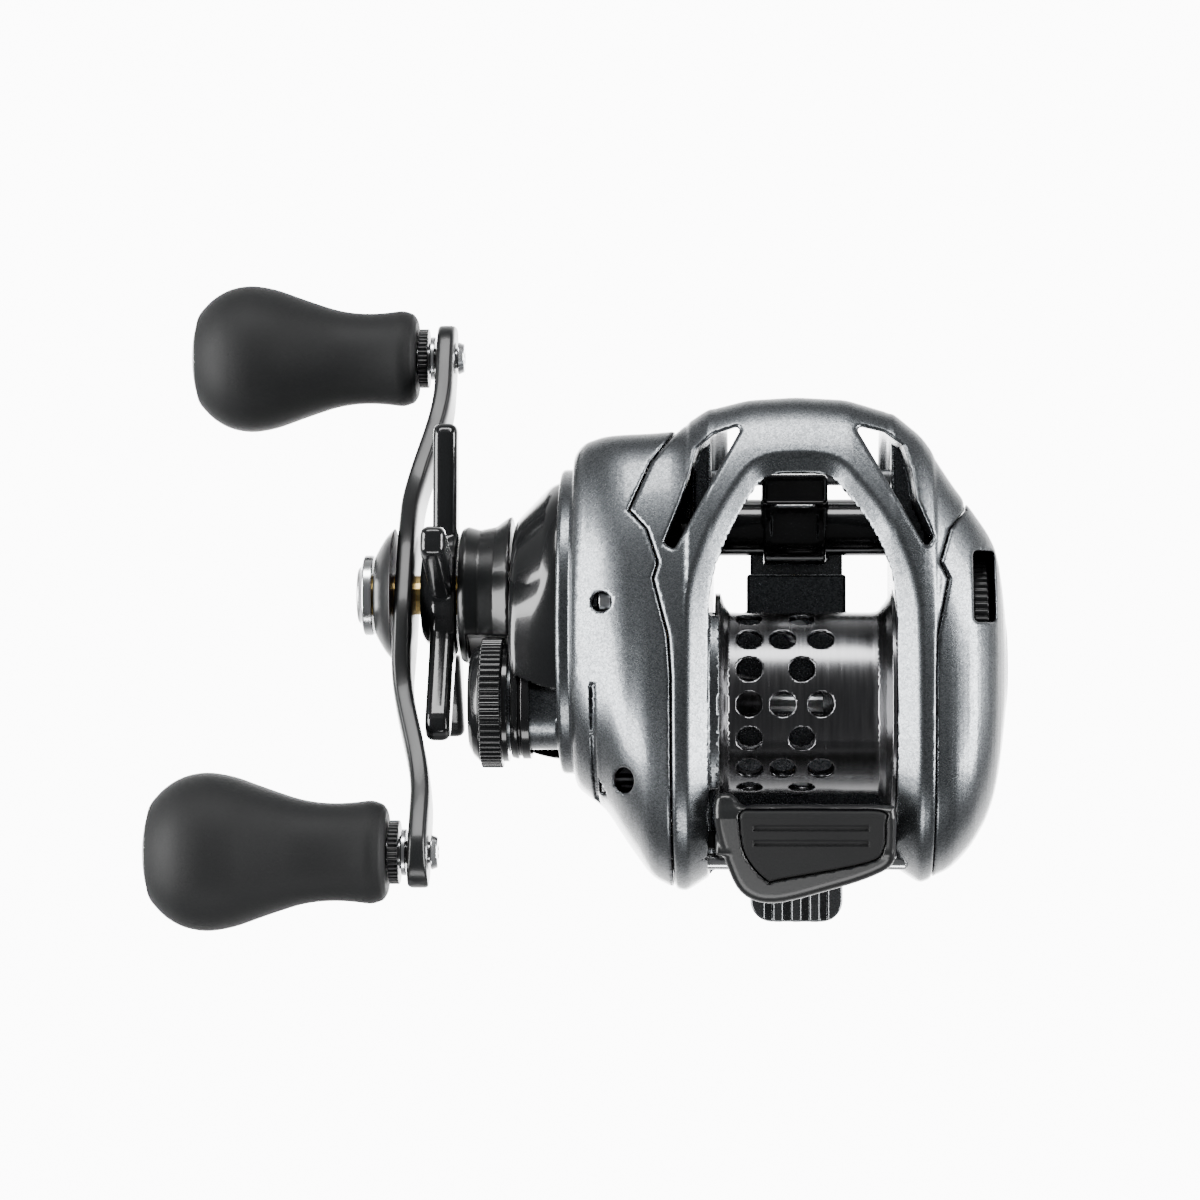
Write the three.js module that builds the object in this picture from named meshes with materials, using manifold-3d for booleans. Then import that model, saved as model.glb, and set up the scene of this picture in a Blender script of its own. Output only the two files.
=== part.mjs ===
// Low-profile baitcasting reel, left-hand retrieve, with its handle partly turned.
// Millimetres. +X points to the palm side, +Y forward along the rod, +Z up off the reel seat.
// The origin lies on the underside of the reel foot, below the spool axis.
import * as THREE from 'three';
import { mergeVertices } from 'three/addons/utils/BufferGeometryUtils.js';
import Module from 'manifold-3d';

const wasm = await Module();
wasm.setup();

// ---- Driving dimensions -------------------------------------------------------------------

const GAP = 0.3;                            // clearance kept between pieces that touch
const SPOOL_AXIS = { y: 0, z: 22 };
const DRIVE_AXIS = { y: 16.2, z: 13.5 };
const WORM_AXIS = { y: 26.5, z: 10.5 };

const WALL_OUT = -16.5;                     // gear-side wall of the frame
const WALL_IN = -13.6;
const RING_IN = 13.3;                       // palm-side ring of the frame
const RING_OUT = 19;
const SHELL_END = -34;                      // flat end of the gear side plate
const PALM_END = 30.4;

const FLANGE_R = 16.4;                      // spool
const ARBOR_R = 13.5;
const RING_BORE_R = 16.9;
const SHAFT_R = 1.3;

const MAIN_MODULE = 0.415;                  // main gear pair, 75 to 12 teeth
const DRIVE_TEETH = 75;
const PINION_TEETH = 12;
const WIND_MODULE = 0.585;                  // level-wind gear pair, 20 to 16 teeth
const WIND_DRIVE_TEETH = 20;
const WORM_TEETH = 16;

const CRANK_R = 45;                         // drive axis to knob axis
const CRANK_TILT = THREE.MathUtils.degToRad(33);
const ARM_THICK = 3;
const ARM_MIDDLE_X = -59.8;
const ARM_END_X = -55.8;

const STAR_R = 26;
const FOOT_X = -0.8;
const FOOT_HALF = 7.1;
const FOOT_THICK = 2.3;

// Half outline of the body at stations across the reel: how far it reaches
// forward, rearward, up and down at each x.
const STATIONS = [
  { x: -34.0, front: 36.8, rear: -12.8, top: 36.2, bottom: -5.6 },
  { x: -32.8, front: 38.6, rear: -13.8, top: 37.6, bottom: -5.9 },
  { x: -29.4, front: 39.7, rear: -16.2, top: 39.6, bottom: -6.0 },
  { x: -26.6, front: 39.9, rear: -20.6, top: 41.0, bottom: -5.8 },
  { x: -22.6, front: 40.0, rear: -26.2, top: 42.2, bottom: -5.0 },
  { x: -18.4, front: 40.3, rear: -28.2, top: 43.0, bottom: -3.8 },
  { x: -13.7, front: 43.4, rear: -28.4, top: 43.4, bottom: -3.0 },
  { x: -8.0, front: 44.8, rear: -28.2, top: 43.6, bottom: -2.6 },
  { x: -1.0, front: 45.2, rear: -27.8, top: 43.6, bottom: -2.4 },
  { x: 6.4, front: 44.8, rear: -27.4, top: 43.5, bottom: -2.4 },
  { x: 13.1, front: 42.8, rear: -27.0, top: 42.9, bottom: -2.2 },
  { x: 17.6, front: 39.1, rear: -26.8, top: 42.4, bottom: -1.8 },
  { x: 22.1, front: 32.2, rear: -24.8, top: 41.2, bottom: -0.4 },
  { x: 25.2, front: 28.2, rear: -21.4, top: 39.6, bottom: 1.4 },
  { x: 28.0, front: 24.2, rear: -16.2, top: 36.4, bottom: 4.8 },
  { x: 29.5, front: 20.2, rear: -9.8, top: 32.2, bottom: 9.0 },
  { x: 30.4, front: 10.5, rear: 0.0, top: 25.5, bottom: 16.0 },
];

// ---- Materials ----------------------------------------------------------------------------

function finish(color, roughness, metalness) {
  return new THREE.MeshStandardMaterial({ color, roughness, metalness });
}

const BODY_PAINT = finish(0x5b5e61, 0.35, 0.8);
const BLACK_GLOSS = finish(0x0c0d0e, 0.15, 0.2);
const BLACK_SATIN = finish(0x17191a, 0.4, 0.5);
const RUBBER = finish(0x141716, 0.85, 0);
const SILVER = finish(0xc6c9cb, 0.25, 1);
const STEEL = finish(0x9a9c9d, 0.35, 1);
const BRASS = finish(0xb4924c, 0.35, 1);
const TITANIUM = finish(0x3d4043, 0.25, 1);
const CARBON = finish(0x1c1c1e, 0.7, 0);

// ---- Solids -------------------------------------------------------------------------------

// A closed three.js geometry as a manifold solid with its faces pointing out.
function solid(geometry) {
  const bare = geometry.clone();
  bare.deleteAttribute('normal');
  bare.deleteAttribute('uv');
  const merged = mergeVertices(bare, 1e-4);
  const position = merged.getAttribute('position');
  const index = merged.getIndex().array;
  const corner = [new THREE.Vector3(), new THREE.Vector3(), new THREE.Vector3()];
  const faces = [];
  let volume = 0;
  for (let i = 0; i < index.length; i += 3) {
    const [a, b, c] = [index[i], index[i + 1], index[i + 2]];
    if (a === b || b === c || c === a) continue;
    faces.push([a, b, c]);
    corner[0].fromBufferAttribute(position, a);
    corner[1].fromBufferAttribute(position, b);
    corner[2].fromBufferAttribute(position, c);
    volume += corner[0].dot(corner[1].clone().cross(corner[2]));
  }
  const outward = volume > 0 ? faces : faces.map(([a, b, c]) => [a, c, b]);
  return new wasm.Manifold(new wasm.Mesh({
    numProp: 3,
    vertProperties: new Float32Array(position.array),
    triVerts: new Uint32Array(outward.flat()),
  }));
}

function geometryOf(manifold) {
  const { vertProperties, triVerts } = manifold.getMesh();
  const geometry = new THREE.BufferGeometry();
  geometry.setAttribute('position', new THREE.BufferAttribute(vertProperties, 3));
  geometry.setIndex(new THREE.BufferAttribute(triVerts, 1));
  geometry.computeVertexNormals();
  return geometry;
}

// A profile of [x, radius] points, closed on itself or ending on the axis, turned about X.
function turned(profile, segments = 20) {
  const points = profile.map(([x, r]) => new THREE.Vector2(r, x));
  const first = points[0];
  const last = points[points.length - 1];
  if (first.x > 0 || last.x > 0) points.push(first.clone());
  return solid(new THREE.LatheGeometry(points, segments).rotateZ(-Math.PI / 2));
}

function bar(x0, x1, r, segments = 20) {
  return turned([[x0, 0], [x0, r], [x1, r], [x1, 0]], segments);
}

function tube(x0, x1, inner, outer, segments = 16) {
  return turned([[x0, inner], [x1, inner], [x1, outer], [x0, outer]], segments);
}

// The same solid moved off the axis it was turned about.
function barAt(axis, x0, x1, r, segments = 20) {
  const points = [[x0, 0], [x0, r], [x1, r], [x1, 0]].map(([x, radius]) => new THREE.Vector2(radius, x));
  const geometry = new THREE.LatheGeometry(points, segments).rotateZ(-Math.PI / 2);
  return solid(geometry.translate(0, axis.y, axis.z));
}

function block(x0, x1, y0, y1, z0, z1) {
  const geometry = new THREE.BoxGeometry(x1 - x0, y1 - y0, z1 - z0);
  return solid(geometry.translate((x0 + x1) / 2, (y0 + y1) / 2, (z0 + z1) / 2));
}

const FROM_SIDE = new THREE.Matrix4().makeBasis(
  new THREE.Vector3(0, 1, 0), new THREE.Vector3(0, 0, 1), new THREE.Vector3(1, 0, 0));

// A shape drawn in the side view (y, z), extruded from x0 to x1.
function plate(shape, x0, x1, curveSegments = 12) {
  const geometry = new THREE.ExtrudeGeometry(shape, { depth: x1 - x0, bevelEnabled: false, curveSegments });
  return solid(geometry.applyMatrix4(FROM_SIDE).translate(x0, 0, 0));
}

// A shape drawn from above (x, y), extruded from z0 to z1.
function prism(shape, z0, z1, curveSegments = 12) {
  const geometry = new THREE.ExtrudeGeometry(shape, { depth: z1 - z0, bevelEnabled: false, curveSegments });
  return solid(geometry.translate(0, 0, z0));
}

function polygon(points) {
  return new THREE.Shape(points.map(([u, v]) => new THREE.Vector2(u, v)));
}

function smooth(points) {
  const curve = new THREE.CatmullRomCurve3(points.map(([u, v]) => new THREE.Vector3(u, v, 0)), true);
  return new THREE.Shape(curve.getPoints(points.length * 3).map((p) => new THREE.Vector2(p.x, p.y)));
}

function oval(y, z, halfY, halfZ) {
  const shape = new THREE.Shape();
  shape.absellipse(y, z, halfY, halfZ, 0, 2 * Math.PI);
  return shape;
}

// A rectangle with rounded corners, centred on (u, v).
function rounded(u, v, halfU, halfV, r) {
  const shape = new THREE.Shape();
  shape.moveTo(u - halfU + r, v - halfV);
  shape.lineTo(u + halfU - r, v - halfV);
  shape.absarc(u + halfU - r, v - halfV + r, r, -Math.PI / 2, 0);
  shape.absarc(u + halfU - r, v + halfV - r, r, 0, Math.PI / 2);
  shape.absarc(u - halfU + r, v + halfV - r, r, Math.PI / 2, Math.PI);
  shape.absarc(u - halfU + r, v - halfV + r, r, Math.PI, 1.5 * Math.PI);
  return shape;
}

// ---- Assembly -----------------------------------------------------------------------------

const group = new THREE.Group();

function axisGroup(parent, axis) {
  const child = new THREE.Group();
  child.position.set(0, axis.y, axis.z);
  parent.add(child);
  return child;
}

function addPart(parent, name, manifold, material) {
  const mesh = new THREE.Mesh(geometryOf(manifold), material);
  mesh.name = name;
  parent.add(mesh);
  return mesh;
}

const spoolGroup = axisGroup(group, SPOOL_AXIS);
const driveGroup = axisGroup(group, DRIVE_AXIS);
const wormGroup = axisGroup(group, WORM_AXIS);

// ---- Body envelope ------------------------------------------------------------------------

const BROW_RISE = 0.24;                     // share of the height by which the nose lifts

function stationAt(x, key) {
  const next = STATIONS.findIndex((s) => s.x >= x);
  if (next <= 0) return STATIONS[next === 0 ? 0 : STATIONS.length - 1][key];
  const [a, b] = [STATIONS[next - 1], STATIONS[next]];
  return THREE.MathUtils.mapLinear(x, a.x, b.x, a[key], b[key]);
}

// A point of the body's side outline at x: a rounded teardrop whose nose rises to a brow.
function outlinePoint(x, angle, inset) {
  const front = stationAt(x, 'front') - inset;
  const rear = stationAt(x, 'rear') + inset;
  const top = stationAt(x, 'top') - inset;
  const bottom = stationAt(x, 'bottom') + inset;
  const u = Math.sign(Math.cos(angle)) * Math.abs(Math.cos(angle)) ** 0.85;
  const ahead = Math.max(0, u);
  const middle = THREE.MathUtils.lerp(bottom, top, 0.42 + BROW_RISE * ahead ** 1.5);
  const upper = (1 - Math.abs(u) ** 2.5) ** 0.45 * (1 - 0.12 * ahead ** 1.4);
  const lower = (1 - Math.abs(u) ** 3) ** 0.36;
  const y = (front + rear) / 2 + u * (front - rear) / 2;
  const z = Math.sin(angle) > 0 ? middle + upper * (top - middle) : middle - lower * (middle - bottom);
  return { y, z };
}

// The body between two x, drawn in from the outer surface by inset. ease crowds the
// sections toward x1, where the palm side rounds over.
function envelope(x0, x1, inset, sections, ease = (s) => s) {
  const geometry = new THREE.CylinderGeometry(1, 1, 1, 34, sections).rotateZ(-Math.PI / 2);
  const position = geometry.getAttribute('position');
  for (let i = 0; i < position.count; i += 1) {
    const x = THREE.MathUtils.lerp(x0, x1, ease(position.getX(i) + 0.5));
    const [cy, cz] = [position.getY(i), position.getZ(i)];
    const rim = Math.hypot(cy, cz) > 0.5;
    const at = outlinePoint(x, rim ? Math.atan2(cz, cy) : 0, inset);
    const front = stationAt(x, 'front');
    const rear = stationAt(x, 'rear');
    const height = (stationAt(x, 'top') + stationAt(x, 'bottom')) / 2;
    position.setXYZ(i, x, rim ? at.y : (front + rear) / 2, rim ? at.z : height);
  }
  return solid(geometry);
}

const roundOver = (s) => Math.sin(s * Math.PI / 2);
const SKIN = 1.8;

// ---- Frame --------------------------------------------------------------------------------

// Posts and screws that pass through the gear-side wall.
const YOKE_POST_R = 1;
const YOKE_POST_REACH = 8.5;
const YOKE_TURN = Math.atan2(SPOOL_AXIS.z - DRIVE_AXIS.z, DRIVE_AXIS.y - SPOOL_AXIS.y);
const YOKE_POSTS = [1, -1].map((side) => ({
  y: SPOOL_AXIS.y + side * YOKE_POST_REACH * Math.sin(YOKE_TURN),
  z: SPOOL_AXIS.z + side * YOKE_POST_REACH * Math.cos(YOKE_TURN),
}));
const PLATE_SCREWS = [{ y: 15, z: 36.4 }, { y: -11.2, z: 27 }];
const SCREW_R = 1;
const FOOT_SCREWS = [-12.5, 11];
const RAIL_AXIS = { y: 34, z: 12.4 };
const REAR_PILLAR_AXIS = { y: -23.4, z: 26 };
const ROD_R = 1.2;
const PIN_BORE = 0.3;

const FLOOR = { bottom: FOOT_THICK + GAP, top: 4.9 };

function hoodOpenings() {
  const arch = new THREE.Shape();
  arch.moveTo(-12.6, -40);
  arch.lineTo(-12.6, 12);
  arch.quadraticCurveTo(-12.2, 21, -6.2, 32.4);
  arch.quadraticCurveTo(-5.4, 34.4, -3.2, 34.4);
  arch.lineTo(2.4, 34.4);
  arch.quadraticCurveTo(4.6, 34.4, 5.4, 32.4);
  arch.quadraticCurveTo(12.6, 21, 13.1, 12);
  arch.lineTo(13.1, -40);
  const leftWindow = smooth([[-12.9, 24], [-13.1, 31.5], [-12.1, 36.6], [-9.2, 38.4], [-8.6, 36.2], [-10.6, 30]]);
  const rightWindow = smooth([[13.2, 24], [14.6, 29.5], [12.6, 36.2], [9.2, 38], [8.6, 36.2], [11.2, 30]]);
  return prism(arch, 5.2, 60).add(prism(leftWindow, 10, 60, 4)).add(prism(rightWindow, 10, 60, 4));
}

function frame() {
  const body = envelope(WALL_OUT, RING_OUT, 0, 9);
  const chamber = envelope(WALL_IN, RING_IN, 2.2, 6);
  const floorSpace = block(WALL_IN, RING_IN, -60, 60, -10, FLOOR.bottom);
  const frontMouth = block(-11.2, 11.6, 20, 60, FLOOR.bottom - 1, 26.5);
  const rearMouth = block(WALL_IN, RING_IN, -60, -16, FLOOR.top, 60);
  let shape = body.subtract(chamber).subtract(floorSpace).subtract(frontMouth).subtract(rearMouth);
  shape = shape.subtract(hoodOpenings());
  const floor = block(WALL_IN - 0.5, RING_IN + 0.5, -24, 13.6, FLOOR.bottom, FLOOR.top)
    .add(block(FOOT_X - 7.6, FOOT_X + 7.6, 13, 19.5, FLOOR.bottom, FLOOR.top));
  const rearBeam = block(WALL_IN - 0.5, RING_IN + 0.5, -25.4, -19.6, FLOOR.bottom, 9.6);
  shape = shape.add(floor).add(rearBeam);
  const hub = barAt(SPOOL_AXIS, -18.3, WALL_OUT + 0.1, 5, 28);
  const lip = barAt(SPOOL_AXIS, WALL_IN - 0.1, -12.1, 18.4, 40)
    .subtract(barAt(SPOOL_AXIS, WALL_IN - 1, 0, RING_BORE_R, 40))
    .subtract(block(-20, 20, 13, 60, -10, 60));
  shape = shape.add(hub).add(lip);
  const cuts = [
    barAt(SPOOL_AXIS, -20, 0, 4.1, 28),
    barAt(SPOOL_AXIS, RING_IN - 1, RING_OUT + 1, RING_BORE_R, 40),
    barAt(DRIVE_AXIS, WALL_OUT - 1, -14.1, 4.5),
    barAt(WORM_AXIS, WALL_OUT - 1, WALL_IN + 1, 3.6),
    barAt(WORM_AXIS, RING_IN - 1, 16.4, 1.8),
    barAt(RAIL_AXIS, -15.6, 15.6, ROD_R + PIN_BORE, 12),
    barAt(REAR_PILLAR_AXIS, -15.6, 15.6, ROD_R + PIN_BORE, 12),
    block(WALL_OUT - 1, WALL_IN + 1, -22.9, -17.9, 19.8, 30),
    ...YOKE_POSTS.map((at) => barAt(at, WALL_OUT - 1, -14.6, YOKE_POST_R + PIN_BORE, 12)),
    ...PLATE_SCREWS.map((at) => barAt(at, WALL_OUT - 1, WALL_IN - 0.4, SCREW_R + PIN_BORE, 12)),
    ...FOOT_SCREWS.map((y) => footScrewHole(y)),
  ];
  return cuts.reduce((rest, cut) => rest.subtract(cut), shape);
}

function footScrewHole(y) {
  const geometry = new THREE.CylinderGeometry(SCREW_R + 0.5, SCREW_R + 0.5, 6, 12).rotateX(Math.PI / 2);
  return solid(geometry.translate(FOOT_X, y, 4));
}

addPart(group, 'frame', frame(), BODY_PAINT);

function reelFoot() {
  const toe = prism(rounded(FOOT_X, -3.5, FOOT_HALF, 30.5, 3.5), 0, FOOT_THICK, 3);
  const grooves = [-4.2, -1.4, 1.4, 4.2].map((dx) => (
    block(FOOT_X + dx - 0.6, FOOT_X + dx + 0.6, -33, -25.8, FOOT_THICK - 0.8, FOOT_THICK + 1)));
  const sockets = FOOT_SCREWS.map((y) => {
    const geometry = new THREE.CylinderGeometry(SCREW_R + PIN_BORE, SCREW_R + PIN_BORE, 3, 12);
    return solid(geometry.rotateX(Math.PI / 2).translate(FOOT_X, y, 2.4));
  });
  return [...grooves, ...sockets].reduce((rest, cut) => rest.subtract(cut), toe);
}

addPart(group, 'reel_foot', reelFoot(), BODY_PAINT);

FOOT_SCREWS.forEach((y, i) => {
  const profile = [[1.2, 0], [1.2, SCREW_R], [5.2, SCREW_R], [5.2, 2.1], [5.9, 1.7], [5.9, 0]];
  const points = profile.map(([z, r]) => new THREE.Vector2(r, z));
  const screw = solid(new THREE.LatheGeometry(points, 14).rotateX(Math.PI / 2));
  const mesh = addPart(group, `foot_screw_${i + 1}`, screw, STEEL);
  mesh.position.set(FOOT_X, y, 0);
});

// ---- Gear side: plate, cover, boss, clutch and bearings -------------------------------------

const COVER = { y: 12.2, z: 15, halfY: 21.1, halfZ: 18.4 };
const RIM = { halfY: 23, halfZ: 20.3 };
const NECK_R = 7;
const SLEEVE_R = 5;
const CAST_CAP_R = 9.7;

function gearSidePlate() {
  const shell = envelope(SHELL_END, WALL_OUT - GAP, 0, 7)
    .subtract(envelope(SHELL_END + SKIN, WALL_OUT + 1, SKIN, 5));
  const rim = plate(oval(COVER.y, COVER.z, RIM.halfY, RIM.halfZ), -36.2, SHELL_END + 0.1)
    .subtract(plate(oval(COVER.y, COVER.z, COVER.halfY + GAP, COVER.halfZ + GAP), -40, SHELL_END));
  const neck = barAt(SPOOL_AXIS, -47, SHELL_END + 2.4, NECK_R, 28);
  const screwBosses = PLATE_SCREWS.map((at) => (
    barAt(at, -32, WALL_OUT - GAP, 2.7, 16).intersect(envelope(SHELL_END, WALL_OUT - GAP, 0.4, 8))));
  const solidShape = [rim, neck, ...screwBosses].reduce((whole, more) => whole.add(more), shell);
  const cuts = [
    barAt(SPOOL_AXIS, -50, -20, 4.9, 28),
    barAt(DRIVE_AXIS, -40, -30, SLEEVE_R + 0.5, 28),
    ...PLATE_SCREWS.map((at) => barAt(at, -60, -27.6, 2.3, 16)),
    ...PLATE_SCREWS.map((at) => barAt(at, -30, -10, SCREW_R + PIN_BORE, 12)),
  ];
  return cuts.reduce((left, cut) => left.subtract(cut), solidShape);
}

addPart(group, 'gear_side_plate', gearSidePlate(), BODY_PAINT);

PLATE_SCREWS.forEach((at, i) => {
  const profile = [[-29.6, 0], [-29.6, 1.9], [-27.9, 1.9], [-27.9, SCREW_R], [-14.3, SCREW_R], [-14.3, 0]];
  const mesh = addPart(group, `side_plate_screw_${i + 1}`, turned(profile, 14), STEEL);
  mesh.position.set(0, at.y, at.z);
});

// The oval cover narrows to its flat face in three bevelled steps.
function gearCover() {
  const steps = [[-39.6, SHELL_END - GAP, 0], [-41.6, -39.7, 0.9], [-42.8, -41.7, 2.2], [-43.4, -42.9, 3.8]];
  const cup = steps.map(([x0, x1, inset]) => (
    plate(oval(COVER.y, COVER.z, COVER.halfY - inset, COVER.halfZ - inset), x0, x1 + 0.2)))
    .reduce((whole, step) => whole.add(step));
  const hollow = plate(oval(COVER.y, COVER.z, COVER.halfY - 2, COVER.halfZ - 2), -38.4, -30);
  return cup.subtract(hollow)
    .subtract(barAt(DRIVE_AXIS, -41.6, -30, 9, 28))
    .subtract(barAt(DRIVE_AXIS, -50, -30, SLEEVE_R + 0.5, 28))
    .subtract(barAt(SPOOL_AXIS, -50, -30, 8.9, 28));
}

addPart(group, 'gear_cover', gearCover(), BLACK_GLOSS);


// The boss is scalloped where the cast control cap turns beside it.
function shaftBoss() {
  const spoolFromDrive = { y: SPOOL_AXIS.y - DRIVE_AXIS.y, z: SPOOL_AXIS.z - DRIVE_AXIS.z };
  return turned([
    [-51.5, 5.5], [-51.5, 10.4], [-50.4, 10.4], [-48.6, 9.9], [-46.2, 10.4], [-43.7, 12], [-43.7, 5.5],
  ]).subtract(barAt(spoolFromDrive, -50.2, -40, CAST_CAP_R + 0.4, 32));
}

addPart(driveGroup, 'shaft_boss', shaftBoss(), BLACK_SATIN);
addPart(driveGroup, 'roller_clutch', tube(-41.2, -35, 5.4, 8.7), STEEL);
addPart(driveGroup, 'drive_shaft_bearing', tube(-16.3, -14.4, 2.3, 4.2), STEEL);
addPart(spoolGroup, 'pinion_bearing', tube(-34.2, -31.8, 2.3, 4.6), STEEL);
addPart(spoolGroup, 'spool_bearing_gear', tube(-42, -39.6, SHAFT_R + 0.25, 4.6), STEEL);
addPart(spoolGroup, 'cast_collar', tube(-43.2, -40.3, NECK_R + GAP, 8.4), BLACK_GLOSS);

// A knurled edge: shallow teeth round the rim of a disc.
function knurl(r, depth, count) {
  const points = [];
  for (let i = 0; i < count; i += 1) {
    const angle = (i / count) * 2 * Math.PI;
    const half = Math.PI / count;
    points.push([r * Math.cos(angle), r * Math.sin(angle)]);
    points.push([(r - depth) * Math.cos(angle + half), (r - depth) * Math.sin(angle + half)]);
  }
  return polygon(points);
}

function castControlCap() {
  const outer = turned([[-49.6, 0], [-49.6, 6.8], [-48.9, 8], [-48, 8.8], [-43.6, 8.8], [-43.6, 0]]);
  const grip = plate(knurl(CAST_CAP_R, 0.5, 30), -47.7, -44.6);
  return outer.add(grip).subtract(bar(-48.2, -43, NECK_R + GAP, 28));
}

addPart(spoolGroup, 'cast_control_cap', castControlCap(), BLACK_GLOSS);

// ---- Yoke posts and springs ---------------------------------------------------------------

const SPRING_FROM = -25.9;
const SPRING_TO = -19.9;

function spring(from, to, radius, wire, turns) {
  const points = [];
  const perTurn = 6;
  for (let i = 0; i <= turns * perTurn; i += 1) {
    const angle = (i / perTurn) * 2 * Math.PI;
    const x = THREE.MathUtils.lerp(from + wire, to - wire, i / (turns * perTurn));
    points.push(new THREE.Vector3(x, radius * Math.cos(angle), radius * Math.sin(angle)));
  }
  const section = new THREE.Shape();
  section.absarc(0, 0, wire, 0, 2 * Math.PI);
  const extrudePath = new THREE.CatmullRomCurve3(points);
  const geometry = new THREE.ExtrudeGeometry(section, { steps: turns * perTurn, extrudePath, curveSegments: 2 });
  return solid(geometry);
}

YOKE_POSTS.forEach((at, i) => {
  const profile = [[-27, 0], [-27, 2], [-26.2, 2], [-26.2, YOKE_POST_R], [-14.9, YOKE_POST_R], [-14.9, 0]];
  const post = addPart(group, `yoke_post_${i + 1}`, turned(profile, 14), STEEL);
  post.position.set(0, at.y, at.z);
  const coil = addPart(group, `yoke_spring_${i + 1}`, spring(SPRING_FROM, SPRING_TO, 1.65, 0.25, 5), STEEL);
  coil.position.set(0, at.y, at.z);
});

// ---- Gears --------------------------------------------------------------------------------

// Straight-sided teeth on pitch radius teeth * module / 2; phase is the angle of one tooth.
function gearShape(teeth, module, phase) {
  const pitchR = teeth * module / 2;
  const tipR = pitchR + 0.95 * module;
  const rootR = pitchR - 1.2 * module;
  const tipHalf = 0.4 * module / tipR;
  const rootHalf = 1.0 * module / rootR;
  const points = [];
  for (let i = 0; i < teeth; i += 1) {
    const middle = phase + (i / teeth) * 2 * Math.PI;
    [[rootR, -rootHalf], [tipR, -tipHalf], [tipR, tipHalf], [rootR, rootHalf]].forEach(([r, turn]) => {
      points.push([r * Math.cos(middle + turn), r * Math.sin(middle + turn)]);
    });
  }
  return polygon(points);
}

function directionTo(from, to) {
  return Math.atan2(to.z - from.z, to.y - from.y);
}

const TO_SPOOL = directionTo(DRIVE_AXIS, SPOOL_AXIS);
const TO_WORM = directionTo(DRIVE_AXIS, WORM_AXIS);

// ---- Drive train --------------------------------------------------------------------------

const DRIVE_SHAFT_R = 3;

addPart(driveGroup, 'drive_shaft', turned([
  [-65.9, 0], [-65.9, DRIVE_SHAFT_R], [-23.7, DRIVE_SHAFT_R], [-23.7, 8], [-22.6, 8],
  [-22.6, DRIVE_SHAFT_R], [-17.2, DRIVE_SHAFT_R], [-17.2, 2], [-14.5, 2], [-14.5, 0],
]), BRASS);

function driveGear() {
  return plate(gearShape(DRIVE_TEETH, MAIN_MODULE, TO_SPOOL), -28, -24)
    .subtract(bar(-29, -25.5, 12.8, 40))
    .subtract(bar(-30, -20, DRIVE_SHAFT_R + GAP, 24));
}

addPart(driveGroup, 'drive_gear', driveGear(), BRASS);
addPart(driveGroup, 'drag_washer', tube(-26.4, -25.8, DRIVE_SHAFT_R + GAP, 12.4), CARBON);
addPart(driveGroup, 'key_washer', tube(-27.6, -26.7, DRIVE_SHAFT_R + GAP, 12.4), STEEL);
addPart(driveGroup, 'clutch_sleeve', tube(-51, -27.9, DRIVE_SHAFT_R + GAP, SLEEVE_R), STEEL);
addPart(driveGroup, 'level_wind_gear', plate(gearShape(WIND_DRIVE_TEETH, WIND_MODULE, TO_WORM), -20.6, -18.2)
  .subtract(bar(-30, -10, DRIVE_SHAFT_R + GAP, 20)), BRASS);

// ---- Star drag ----------------------------------------------------------------------------

const STAR_ARMS = 5;

function starDrag() {
  const points = [];
  for (let i = 0; i < STAR_ARMS; i += 1) {
    const middle = (i / STAR_ARMS) * 2 * Math.PI;
    const next = middle + Math.PI / STAR_ARMS;
    [[9.5, -0.36], [17, -0.15], [STAR_R - 1.2, -0.09], [STAR_R, -0.04], [STAR_R, 0.04],
      [STAR_R - 1.2, 0.09], [17, 0.15], [9.5, 0.36]].forEach(([r, turn]) => {
      points.push([r * Math.cos(middle + turn), r * Math.sin(middle + turn)]);
    });
    points.push([8.9 * Math.cos(next), 8.9 * Math.sin(next)]);
  }
  const hub = turned([[-57.4, 0], [-57.4, 6.6], [-56.6, 7.4], [-53.4, 8.9], [-52, 9.2], [-52, 0]]);
  return plate(polygon(points), -55.8, -52.1).add(hub).subtract(bar(-60, -50, DRIVE_SHAFT_R + GAP, 24));
}

addPart(driveGroup, 'star_drag', starDrag(), BLACK_GLOSS);

// ---- Handle -------------------------------------------------------------------------------

const handleGroup = new THREE.Group();
handleGroup.rotation.x = -CRANK_TILT;
driveGroup.add(handleGroup);

const ARM_TIP_HALF = 5.2;
const POST_R = 1.6;

// The arm widens at its hub and its ends, and its ends sweep in toward the body.
function armHalfWidth(reach) {
  if (reach > CRANK_R) return Math.max(0.6, Math.sqrt(ARM_TIP_HALF ** 2 - (reach - CRANK_R) ** 2));
  const waist = THREE.MathUtils.smoothstep(reach, 4, 20) * 3.1;
  return 7.2 - waist + THREE.MathUtils.smoothstep(reach, 30, CRANK_R) * 1.1;
}

function handleArm() {
  const length = 2 * (CRANK_R + ARM_TIP_HALF - 0.06);
  const geometry = new THREE.BoxGeometry(ARM_THICK, length, 2, 1, 32, 1);
  const position = geometry.getAttribute('position');
  for (let i = 0; i < position.count; i += 1) {
    const reach = Math.abs(position.getY(i));
    const sweep = THREE.MathUtils.smoothstep(reach, 13, 38) * (ARM_END_X - ARM_MIDDLE_X);
    position.setX(i, position.getX(i) + ARM_MIDDLE_X + sweep);
    position.setZ(i, position.getZ(i) * armHalfWidth(reach));
  }
  const bores = [-CRANK_R, CRANK_R].map((y) => barAt({ y, z: 0 }, -70, -40, POST_R + GAP, 16));
  return [bar(-70, -50, DRIVE_SHAFT_R + GAP, 24), ...bores]
    .reduce((left, cut) => left.subtract(cut), solid(geometry));
}

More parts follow.
